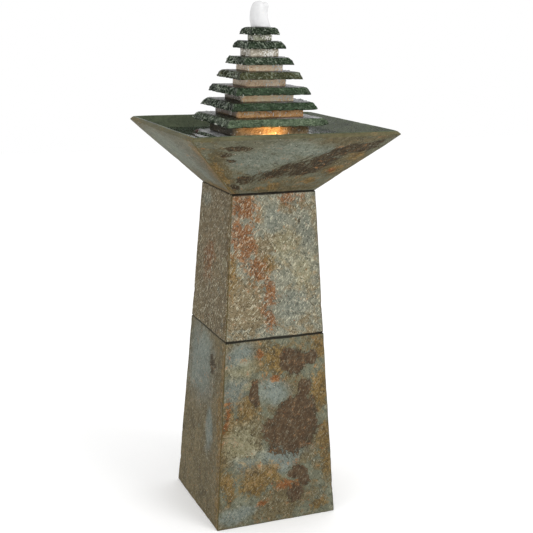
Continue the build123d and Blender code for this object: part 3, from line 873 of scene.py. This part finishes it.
def sawn_spacer(node, material, seed):
    """A small square block between two plates: sawn sides with fine layers and worn corners."""
    low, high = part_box(node)
    loop = square_loop(high.x)
    bore = np.hypot(*mesh_points(node)[:, :2].T).min()
    middle = square_loop(max(0.35 * high.x, 1.5 * bore))
    shell = plate_shell(node, loop, loop, middle, bore, 2.0 * MM, 8)
    points, quads, inset, face, run, towards = shell
    x, y, z = points.T.copy()
    tall = (z - low.z) / (high.z - low.z)
    near = np.exp(-inset / (3 * MM))
    spot = points + 2.3 * seed
    beds = np.stack([0.2 * run, 0 * run, z], axis=1) + seed
    strata = 0.5 + 0.5 * fractal(beds, 0.006, 3, seed)
    rough = 0.5 + 0.5 * fractal(spot, 0.012, 4, seed + 7)
    edge = np.maximum(step_up(tall, 0.85, 1), step_up(tall, 0.15, 0)) * face + (1 - face)
    corner = np.exp(-np.abs(np.abs(x) - np.abs(y)) / (2 * MM))
    cut = (0.9 * strata + 0.9 * rough + 0.7 * edge + 1.3 * corner) * MM
    points = points.copy()
    points[:, :2] += towards * (cut * near)[:, None]
    leftward = step_up(-points[:, 0] - np.abs(points[:, 1]), -2 * MM, 2 * MM)
    leftward *= step_up(points[:, 1] / high.x, -1.3, -0.1)
    fields = {"grain": spot, "leftward": leftward}
    piece = make_mesh(node + "_sawn", points, quads, fields)
    return place(piece, "tower", "slate_spacer", material, node)


def plate_material(name, tones, olive, sheen_whiteness):
    """Wet green slate: knapped rim with painted shade in hollows, painted highlights on ridges;
    glossy top.

    Olive is how much moss it has; the last setting lifts the painted sheen on its top towards
    white.
    """
    paint = Paint(name, Specular_IOR_Level=0.06)
    grain = paint.place("grain")
    broad = paint.noise(grain, 30, 5, 0.65, 0.5)
    mid = paint.noise(grain, 10, 5, 0.7)
    fine = paint.noise(paint.place("grain", (0.6, 0.6, 1.6)), 4.5, 5, 0.72)
    grit = paint.noise(grain, 2.2, 3, 0.8)
    ground = paint.ragged(0.45, (broad, 0.6), (mid, 0.4), (fine, 1.0), (grit, 0.9))
    paint.tone = paint.ramp(ground, *spread(tones, 0.15, 0.7))
    moss = paint.ramp(grit, (0.35, (42, 40, 20)), (0.65, (106, 102, 66)))
    paint.cover(paint.shows(0.0, -0.6, 0.3, olive, (broad, 1.0), (fine, 1.6)), moss)
    # Painted shade in the hollows and painted highlights on the ridges, most where the rim is
    # rough.
    rough = paint.value("rough")
    uneven = paint.calc("MULTIPLY", rough, rough)
    rimward = paint.shows("rimward", 0.25, 0.8)
    ridge_highlight = paint.shades((0.2, 0.85), ((70, 86, 66), (186, 194, 176)), (grit, 1.3), (mid, 1.0))
    for share, least, tone in (
        (paint.shows("hollow", 0.20, 0.75, 0.8, (fine, 1.1), (mid, 0.7)), 0.05, (9, 13, 9)),
        (paint.shows("ridge", 0.43, 1.0, 1.0, (fine, 1.7), (grit, 1.6), (mid, 1.0)), 0.04, ridge_highlight),
    ):
        share = paint.calc("MULTIPLY", share, paint.calc("MULTIPLY_ADD", uneven, 0.85, least))
        paint.cover(paint.calc("MULTIPLY", share, rimward), tone)
    # Pale flecks: painted glints of water on the wet slate.
    paint.cover(paint.shows(paint.cells(grain, 5), 0.12, 0.0, 0.9, (grit, 0.4)), (200, 210, 194))
    # The top face: a painted sheen, the bright room reflected in its water, to the right; damp
    # slate in painted shade to the left.
    top = paint.value("top")
    streaks = paint.noise(paint.place("grain", (0.35, 1.6, 1)), 9, 4, 0.7)
    sheen = paint.ramp(
        paint.calc("ADD", streaks, sheen_whiteness),
        (0.42, (60, 60, 62)), (0.55, (112, 110, 116)), (0.70, (216, 216, 218)),
    )
    damp_in_shade = paint.ramp(streaks, (0.35, (22, 22, 17)), (0.65, (56, 56, 44)))
    wet = paint.mix(paint.shows("bright", 0.3, 0.7, 1.0, (broad, 0.6)), damp_in_shade, sheen)
    paint.cover(paint.calc("MULTIPLY", top, 0.8), wet)
    iron = paint.ramp(fine, (0.35, (30, 10, 7)), (0.65, (88, 40, 30)))
    paint.cover(paint.shows("maroon", -0.1, 0.2, 0.85, (broad, 1.2), (fine, 0.8)), iron)
    paint.bump((mid, 0.7), (fine, 0.7), (grit, 0.3))
    gloss = paint.step(paint.ragged(0.5, (fine, 1.0)), 0.2, 0.8, 0.22, 0.55)
    return paint.done(paint.calc("MULTIPLY_ADD", top, -0.12, gloss))


def spacer_material(name, tones, gloom):
    """Tan and pinkish slate, wet, with layers seen edge on. Gloom is how dark its left face is."""
    paint = Paint(name, Specular_IOR_Level=0.3)
    grain = paint.place("grain")
    broad = paint.noise(grain, 28, 5, 0.6, 0.5)
    bands = paint.noise(paint.place("grain", (1, 1, 5)), 9, 5, 0.7)
    slanting = paint.noise(paint.place("grain", (2.5, 1, 0.6), 40), 6, 4, 0.7)
    grit = paint.noise(grain, 2.2, 4, 0.8)
    paint.tone = paint.shades(
        (0.1, 0.35, 0.55, 0.7, 0.9), tones, (broad, 0.9), (bands, 0.8), (slanting, 0.8), (grit, 0.5)
    )
    # White flecks: painted glints of water on the wet stone.
    paint.cover(paint.shows(paint.cells(grain, 6), 0.12, 0.0, 0.8, (grit, 0.5)), (230, 226, 214))
    gloomy = paint.ramp(bands, (0.35, (12, 12, 7)), (0.65, (52, 46, 30)))
    paint.cover(paint.shows("leftward", 0.25, 0.6, gloom, (broad, 1.2), (bands, 0.9)), gloomy)
    paint.bump((broad, 0.7), (bands, 0.5), (grit, 0.3))
    return paint.done(paint.step(bands, 0.3, 0.7, 0.22, 0.5))


GREEN = ((11, 16, 10), (27, 40, 26), (50, 70, 50), (80, 102, 76), (150, 164, 138))
GREY_GREEN = ((20, 27, 18), (54, 68, 50), (94, 110, 86), (124, 140, 112), (184, 192, 166))
green_slate = plate_material("green_slate", GREEN, 0.12, 0.0)
SLATES = {
    4: plate_material("olive_slate", GREEN, 0.9, 0.0),
    7: plate_material("grey_slate", GREY_GREEN, 0.1, 0.04),
    # Slate 8 has a whiter painted sheen on its top.
    8: plate_material("white_sheen_slate", GREY_GREEN, 0.1, 0.15),
}
# How deep the front's flakes are on each plate, from the top one down.
ROUGH_FRONTS = (0.95, 0.9, 0.8, 0.7, 0.4, 0.35, 0.4, 0.7)

TAN = ((86, 66, 44), (218, 184, 146), (246, 220, 186), (252, 238, 214), (254, 250, 240))
# Spacers 5 and 6: the stone's pinkish tan, warmed by painted orange light from the underwater lamp.
LAMPLIT_WARM = ((110, 76, 42), (240, 200, 150), (252, 228, 188), (254, 242, 214), (254, 250, 236))
LAMPLIT_AMBER = ((76, 44, 20), (196, 140, 88), (244, 190, 130), (250, 214, 164), (254, 240, 214))
MOSSY = ((34, 36, 24), (104, 108, 84), (166, 168, 144), (208, 208, 188), (244, 244, 234))
GREY = ((48, 44, 32), (128, 120, 100), (176, 166, 146), (212, 204, 188), (246, 242, 234))
BROWN = ((44, 30, 16), (110, 88, 60), (164, 138, 100), (200, 174, 134), (236, 224, 198))
# Each finish serves its own spacer and those below it, down to the next finish.
SPACERS = {
    number: spacer_material("spacer_" + name, tones, gloom)
    for number, name, tones, gloom in (
        (1, "mossy", MOSSY, 0.4), (2, "grey", GREY, 0.3), (3, "tan", TAN, 0.3),
        (5, "lamplit_warm", LAMPLIT_WARM, 0.9), (6, "lamplit_amber", LAMPLIT_AMBER, 0.9), (7, "brown", BROWN, 0.9),
    )
}

# Red-brown iron stains on two plates: middle and half sizes, in metres.
MAROON = {
    5: [(-0.066, -0.025, 0.020, 0.045), (-0.040, -0.064, 0.030, 0.013)],
    8: [(-0.128, 0.112, 0.020, 0.026)],
}

riser_gap = np.hypot(*mesh_points("slate_1")[:, :2].T).min()
for number, rough_front in enumerate(ROUGH_FRONTS, 1):
    node = f"slate_{number}"
    low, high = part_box(node)
    low_half = high.x
    corners = mesh_points(node)
    high_half = corners[corners[:, 2] > high.z - 0.1 * MM][:, 0].max()
    loops = [square_loop(half) for half in (low_half, high_half, 0.55 * high_half)]
    if number == 8:
        # The front has a notch that the light shines through.
        in_notch = (np.abs(corners[:, 0]) < 0.6 * low_half) & (corners[:, 1] < -20 * MM)
        notch = corners[in_notch]
        left, right, deep = notch[:, 0].min(), notch[:, 0].max(), notch[:, 1].max()
        for loop in loops[:2]:
            front = loop[0][1]
            loop[1:1] = [(left, front), (left, deep), (right, deep), (right, front)]
        front = loops[2][0][1]
        loops[2][1:1] = [(x, front) for x in (left - 2 * MM, left, right, right + 2 * MM)]
    chiselled_plate(
        node, SLATES.get(number, green_slate), 11 * number, (*loops, riser_gap), rough_front,
        MAROON.get(number, []),
    )
for number in range(1, 8):
    coat = SPACERS[max(key for key in SPACERS if key <= number)]
    sawn_spacer(f"spacer_{number}", coat, 13 * number)

# --- Water -------------------------------------------------------------------------------------


def froth_material():
    """White water, broken up by air."""
    paint = Paint("white_water", IOR=1.33, Specular_IOR_Level=0.3)
    streaks = paint.noise(paint.place(None, (1, 1, 0.3)), 14, 4, 0.6)
    bubbles = paint.noise(paint.place(), 4, 3, 0.7)
    tones = (204, 204, 205), (222, 222, 222)
    paint.tone = paint.shades((0.2, 0.8), tones, (streaks, 1.0), (bubbles, 0.5))
    paint.bump((streaks, 0.5), (bubbles, 0.15))
    return paint.done(paint.step(bubbles, 0.3, 0.7, 0.3, 0.5))


def clear_water():
    """Water thin enough to see the basin through; where churned up, pale streaks of foam and
    painted reflection.
    """
    paint = Paint("clear_water", Alpha=0.55, IOR=1.333, Specular_IOR_Level=0.9)
    ripples = paint.noise(paint.place(), 40, 3, 0.5)
    streaks = paint.noise(paint.place(None, (0.4, 1.3, 1)), 9, 5, 0.7)
    paint.tone = paint.ramp(ripples, (0.3, (34, 44, 36)), (0.7, (58, 70, 58)))
    # Pale streaks: foam, and painted reflections of the bright room on the ripples.
    paint.cover(paint.shows("churn_and_sheen", 0.5, 1.0, 0.75, (streaks, 2.6)), (200, 198, 200))
    paint.bump((ripples, 0.25))
    return paint.done(paint.step(ripples, 0.3, 0.7, 0.02, 0.06))


def water_plume(material):
    """The jet over the top plate: a lumpy column that leans a little and splits at its crown."""
    low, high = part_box("water_plume")
    tall = high.z - low.z
    middle = (low + high) / 2
    # Height as a share, then how far the jet reaches left and right of its middle, in millimetres.
    shape = np.array(
        [
            (0.00, 21.5, 27.0), (0.10, 22.5, 25.5), (0.25, 24.0, 23.0), (0.40, 24.5, 20.5),
            (0.55, 24.5, 19.5), (0.70, 23.0, 20.5), (0.82, 20.5, 22.0), (0.91, 17.5, 20.5),
            (0.97, 11.0, 15.0), (1.00, 0.0, 0.0),
        ]
    )
    rows, columns = 60, 96
    height = np.sin(np.linspace(0, math.pi / 2, rows))
    angle = np.arange(columns) * 2 * math.pi / columns
    grid_height, grid_angle = np.meshgrid(height, angle, indexing="ij")
    left, right = (np.interp(grid_height, shape[:, 0], shape[:, side]) * MM for side in (1, 2))
    half, shift = (left + right) / 2, (right - left) / 2
    spot = np.stack(
        [np.cos(grid_angle) * 0.02, np.sin(grid_angle) * 0.02, grid_height * tall * 0.5], axis=-1
    ).reshape(-1, 3)
    lump = fractal(spot + 5, 0.016, 3, 5).reshape(rows, columns)
    strand = noise(spot * (1, 1, 0.25) + 9, 0.006, 8).reshape(rows, columns)
    radius = half * (0.97 + 0.05 * lump + 0.02 * strand)
    across, deep = radius * np.cos(grid_angle) + shift, 0.92 * radius * np.sin(grid_angle)
    # A crease between two lobes runs down the front and the back from the crown.
    crown = step_up(grid_height, 0.45, 1.0)
    crease = crown * np.exp(-(((across - 7 * MM) / (3.5 * MM)) ** 2))
    deep *= 1 - 0.12 * crease
    lift = grid_height - 0.05 * crease - 0.02 * crown * step_up(across, 5 * MM, 9 * MM)
    direction = Vector((math.cos(CAMERA_AZIMUTH), math.sin(CAMERA_AZIMUTH)))
    points = np.stack(
        [
            middle.x + across * direction.x - deep * direction.y,
            middle.y + across * direction.y + deep * direction.x,
            low.z + 0.4 * MM + (tall - 1.0 * MM) * lift,
        ],
        axis=-1,
    )
    points[-1] = points[-1].mean(axis=0)
    foot_point = [[middle.x, middle.y, low.z]]
    points = np.concatenate([points[:-1].reshape(-1, 3), points[-1, :1], foot_point])
    faces = []
    for row in range(rows - 2):
        for column in range(columns):
            here, beside = row * columns + column, row * columns + (column + 1) % columns
            faces.append([here, beside, beside + columns, here + columns])
    crown_start, crown_tip, foot = (rows - 2) * columns, len(points) - 2, len(points) - 1
    for column in range(columns):
        after = (column + 1) % columns
        faces.append([crown_start + column, crown_start + after, crown_tip])
        faces.append([after, column, foot])
    return place(make_mesh("water_jet", points, faces), "tower", "water", material, "water_plume")


def bead_material():
    """Beads and runs of water on the plates and spacers, near white as painted glints."""
    paint = Paint("water_beads", IOR=1.33, Specular_IOR_Level=0.5)
    bubbles = paint.noise(paint.place(), 3, 3, 0.7)
    # Near white: painted glints of light on the water.
    paint.tone = paint.ramp(bubbles, (0.3, (226, 224, 216)), (0.7, (254, 252, 246)))
    paint.bump((bubbles, 0.2))
    return paint.done(paint.step(bubbles, 0.3, 0.7, 0.15, 0.3))


def drops(name, sites, material, body, seed):
    """Small closed drops in one mesh. Each site is a middle, a radius and a stretch along Z."""
    rng = np.random.default_rng(seed)
    rings, segments = 5, 8
    polar = np.linspace(0, math.pi, rings + 2)[1:-1]
    angle = np.arange(segments) * 2 * math.pi / segments
    ball = [
        (math.sin(p) * math.cos(q), math.sin(p) * math.sin(q), math.cos(p))
        for p in polar for q in angle
    ]
    ball = np.array([*ball, (0, 0, 1), (0, 0, -1)])
    top, bottom = rings * segments, rings * segments + 1
    faces = []
    for q in range(segments):
        after = (q + 1) % segments
        faces.append([top, q, after])
        faces.append([bottom, (rings - 1) * segments + after, (rings - 1) * segments + q])
        for ring in range(rings - 1):
            a, b = ring * segments, (ring + 1) * segments
            faces.append([a + q, b + q, b + after, a + after])
    points, all_faces = [], []
    for middle, radius, stretch in sites:
        shape = ball * (1, 1, stretch) * radius * (1 + 0.18 * rng.uniform(-1, 1, (len(ball), 1)))
        all_faces += [[corner + len(points) * len(ball) for corner in face] for face in faces]
        points.append(shape + np.asarray(middle))
    return place(make_mesh(name, np.concatenate(points), all_faces), body, "water", material)


DROPS_PER_PLATE = 16


def splashes(seed):
    """Sites of the drops that run down the spacers and cling to the plates' rims."""
    rng = np.random.default_rng(seed)
    sites = []
    # For each spacer: how many drops, and where on its front most of them gather (-1 to 1).
    for number, count, gather, spread in (
        (1, 90, 0.4, 0.6), (2, 200, 0.25, 0.5), (3, 110, 0.7, 0.35), (4, 60, 0.2, 0.8),
        (5, 130, 0.55, 0.45), (6, 80, 0.0, 0.8), (7, 50, 0.2, 0.8),
    ):
        low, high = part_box(f"spacer_{number}")
        half = high.x
        for _ in range(count):
            turn = rng.choice([0, 0, 0, 1, 2, 3]) * math.pi / 2
            across = half * np.clip(gather + spread * rng.normal(0, 0.6), -0.96, 0.96)
            up = rng.uniform(low.z + 1.5 * MM, high.z - 1.5 * MM)
            radius = rng.uniform(0.5, 1.5) * MM
            out = -(half - 0.8 * MM)
            x = math.cos(turn) * across - math.sin(turn) * out
            y = math.sin(turn) * across + math.cos(turn) * out
            sites.append(((x, y, up), radius, rng.uniform(1.0, 1.9)))
    for number in range(1, 8):
        low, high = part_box(f"slate_{number}")
        half = high.x - 3 * MM
        for _ in range(DROPS_PER_PLATE):
            turn = rng.integers(4) * math.pi / 2
            across = rng.uniform(-0.9, 0.9) * half
            x = math.cos(turn) * across + math.sin(turn) * half
            y = math.sin(turn) * across - math.cos(turn) * half
            radius = rng.uniform(0.6, 1.3) * MM
            sites.append(((x, y, low.z + 1.2 * MM), radius, rng.uniform(1.2, 2.2)))
    return sites


WATER_DOWN = 4.2 * MM  # how far the water stands under the top of the lowest plate
WATER_CELLS = 150


def pool(material):
    """The water in the basin, from its floor to just under the lowest plate's top."""
    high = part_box("basin_floor")[1]
    inner_top, inner_foot = panel_edges("basin_panel_front", True)[2:]
    lean = (inner_top[0] - inner_foot[0]) / (inner_top[1] - inner_foot[1])
    bottom = high.z + 0.3 * MM
    plate_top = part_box("slate_8")[1]
    surface = plate_top.z - WATER_DOWN
    index, quads = box_shell((WATER_CELLS, WATER_CELLS, 3))
    height = bottom + (surface - bottom) * index[:, 2]
    half = inner_foot[0] + (height - inner_foot[1]) * lean - 1.8 * MM
    x, y = (2 * index[:, 0] - 1) * half, (2 * index[:, 1] - 1) * half
    points = np.stack([x, y, height], axis=1)
    from_tower = np.maximum(np.abs(x), np.abs(y)) - plate_top.x
    rings = np.sin(from_tower / (4.5 * MM)) * np.exp(-np.maximum(from_tower, 0) / (60 * MM))
    ripple = 0.35 * fractal(points, 0.08, 2, 61) + 0.25 * rings
    points[:, 2] += (index[:, 2] > 0.99) * ripple * MM
    # Calmer to the left.
    calmer = 1 - 0.55 * step_up(-x, 40 * MM, 100 * MM)
    # The water is also calm under the tower, where the pump stands, and far from it.
    away = np.maximum(from_tower / (110 * MM), -from_tower / (20 * MM))
    # Where the pale streaks show: foam, and painted reflections.
    water = make_mesh("basin_water", points, quads, {"churn_and_sheen": calmer * np.exp(-away)})
    return place(water, "basin", "water", material)


water_plume(froth_material())
drops("tower_splashes", splashes(3), bead_material(), "tower", 4)
pool(clear_water())

# --- Finishes of the CAD parts that stay -------------------------------------------------------


def plain_slate(name, tones, wet):
    """Sawn slate for blocks, legs and the basin floor."""
    paint = Paint(name)
    spot = paint.place()
    broad = paint.noise(spot, 60, 5, 0.6, 0.5)
    fine = paint.noise(paint.place(None, (1, 1, 2.5)), 7, 5, 0.7)
    grit = paint.noise(spot, 1.8, 3, 0.75)
    ground = paint.ragged(0.5, (broad, 1.0), (fine, 0.8), (grit, 0.3))
    paint.tone = paint.ramp(ground, *spread(tones, 0.1, 0.8))
    paint.bump((broad, 0.8), (fine, 0.5), (grit, 0.2))
    return paint.done(paint.step(fine, 0.3, 0.7, 0.75 - 0.45 * wet, 0.9 - 0.45 * wet))


def moulded(name, light, dark, low_rough, high_rough, grain, rise, **settings):
    """A moulded or cast part: two close tones, a fine surface grain and dull handled patches."""
    paint = Paint(name, **settings)
    spot = paint.place()
    cloud = paint.noise(spot, 18, 4, 0.6)
    skin = paint.noise(spot, grain, 3, 0.6)
    paint.tone = paint.shades((0.2, 0.8), (dark, light), (cloud, 1.2), (skin, 0.5))
    paint.bump((skin, rise))
    return paint.done(paint.step(paint.ragged(0.5, (cloud, 1.0)), 0.2, 0.8, low_rough, high_rough))


def glowing(name, inner, outer, strength):
    """A lit surface that is hotter in its middle."""
    paint = Paint(name, Roughness=0.3, Emission_Strength=strength)
    cloud = paint.noise(paint.place(), 6, 3, 0.5)
    paint.tone = paint.ramp(cloud, (0.3, inner), (0.7, outer))
    paint.put(paint.shader.inputs["Emission Color"], paint.tone)
    return paint.done()


def finish(nodes, material):
    """Gives CAD nodes a material in place of the plain one that they came with."""
    for node in nodes.split():
        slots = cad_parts[node].data.materials
        slots.clear()
        slots.append(material)


WET_SLATE = ((30, 36, 29), (46, 54, 44), (64, 72, 60), (84, 92, 80))
BLOCK_SLATE = ((62, 60, 54), (84, 82, 74), (104, 102, 94), (126, 124, 116))
finish("basin_floor tower_legs", plain_slate("wet_slate", WET_SLATE, 1.0))
finish("lower_locating_blocks basin_locating_blocks", plain_slate("block_slate", BLOCK_SLATE, 0.0))

# Moulded and cast parts: the nodes and the material's name, then its two tones, how rough it is,
# the size and rise of its surface grain in millimetres, and the shader's other settings.
CLEAR = {"Transmission_Weight": 0.85, "IOR": 1.45}
GLASS = {"Transmission_Weight": 0.95, "IOR": 1.5}
for nodes, name, light, dark, low_rough, high_rough, grain, rise, settings in (
    ("lower_corner_strips upper_corner_strips",
     "resin_fillet", (122, 112, 84), (84, 76, 56), 0.5, 0.75, 2.5, 0.25, {}),
    ("basin_sealant", "basin_bead", (52, 54, 48), (34, 36, 32), 0.3, 0.5, 3.0, 0.15, {}),
    ("cord_grommet pump_suction_cups pump_gland light_suction_cup light_seal light_gland",
     "black_rubber", (34, 34, 34), (18, 18, 18), 0.5, 0.8, 1.2, 0.06, {}),
    ("pump_housing pump_cover pump_outlet strainer_cover",
     "pump_plastic", (36, 38, 40), (20, 22, 24), 0.35, 0.55, 0.8, 0.05, {}),
    ("flow_regulator", "knob_plastic", (74, 78, 82), (52, 55, 58), 0.35, 0.55, 0.8, 0.05, {}),
    ("impeller_wheel",
     "impeller_plastic", (226, 226, 220), (204, 204, 196), 0.3, 0.5, 0.8, 0.04, {}),
    ("rotor_magnet", "magnet_ferrite", (50, 48, 46), (34, 33, 32), 0.45, 0.6, 1.0, 0.04, {}),
    ("pump_shaft", "shaft_ceramic", (240, 238, 230), (222, 218, 208), 0.12, 0.25, 0.8, 0.01, {}),
    ("riser_tube spout_collar",
     "clear_tube", (232, 236, 232), (208, 214, 210), 0.08, 0.2, 3.0, 0.02, CLEAR),
    ("light_housing light_bezel light_bracket",
     "light_plastic", (44, 44, 42), (26, 26, 25), 0.35, 0.55, 0.8, 0.05, {}),
    ("light_lens", "lens_glass", (255, 250, 240), (248, 240, 224), 0.03, 0.08, 3.0, 0.01, GLASS),
    ("light_screws",
     "stainless", (196, 196, 194), (164, 164, 162), 0.22, 0.38, 0.7, 0.02, {"Metallic": 1.0}),
):
    coat = moulded(name, light, dark, low_rough, high_rough, grain, rise, **settings)
    finish(nodes, coat)
finish("light_led", glowing("led_board", (255, 226, 160), (255, 196, 104), 14.0))

# The underwater light shines up through the notch onto the lowest spacer.
LAMP_TILT = math.radians(15)
lens_low, lens_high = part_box("light_lens")
LAMP_TURN = -0.3  # to the left of the lens, as a share of the way forward
beam = Vector((LAMP_TURN, math.cos(LAMP_TILT), math.sin(LAMP_TILT)))
lamp = bpy.data.lights.new("underwater_lamp", "SPOT")
lamp.energy = 1.0
lamp.color = (1.0, 0.56, 0.21)
lamp.spot_size = math.radians(120)
lamp.spot_blend = 0.9
lamp.shadow_soft_size = 0.006
lamp_holder = add_object("underwater_lamp", lamp)
lamp_holder.location = (lens_low + lens_high) / 2 + 6 * MM * beam
lamp_holder.rotation_euler = beam.to_track_quat("-Z", "Y").to_euler()
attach(lamp_holder, "light_head")

# --- Room --------------------------------------------------------------------------------------

world = bpy.data.worlds.new("studio")
bpy.context.scene.world = world
world.use_nodes = True
backdrop = world.node_tree.nodes["Background"]
backdrop.inputs["Color"].default_value = (1, 1, 1, 1)
backdrop.inputs["Strength"].default_value = 1.0


def area_light(name, position, aim, width, power):
    """A soft rectangular studio light."""
    light = bpy.data.lights.new(name, "AREA")
    light.size = width
    light.energy = power
    holder = add_object(name, light)
    holder.location = position
    holder.rotation_euler = (Vector(aim) - Vector(position)).to_track_quat("-Z", "Y").to_euler()


area_light("key", (1.8, -3.2, 3.0), (0, 0, 0.6), 2.0, 60)
area_light("fill", (-3.2, -1.8, 2.0), (0, 0, 0.6), 2.2, 12)

FLOOR_SIZE = (14, 14, 0.04)
FLOOR_GAP = (0, 0, 0.2 * MM)  # keeps the floor from touching the pedestal's foot
floor_points, floor_quads = box_shell((24, 24, 1))
floor_points = (floor_points - (0.5, 0.5, 1)) * FLOOR_SIZE - FLOOR_GAP
floor = make_mesh("floor", floor_points, floor_quads, smooth=False)
paint = Paint("floor_paper", Roughness=0.9, Emission_Color=(1, 1, 1, 1), Emission_Strength=0.08)
paint.tone = (0.96, 0.96, 0.96, 1)
floor.data.materials.append(paint.done())

bpy.context.scene.view_settings.view_transform = "Standard"
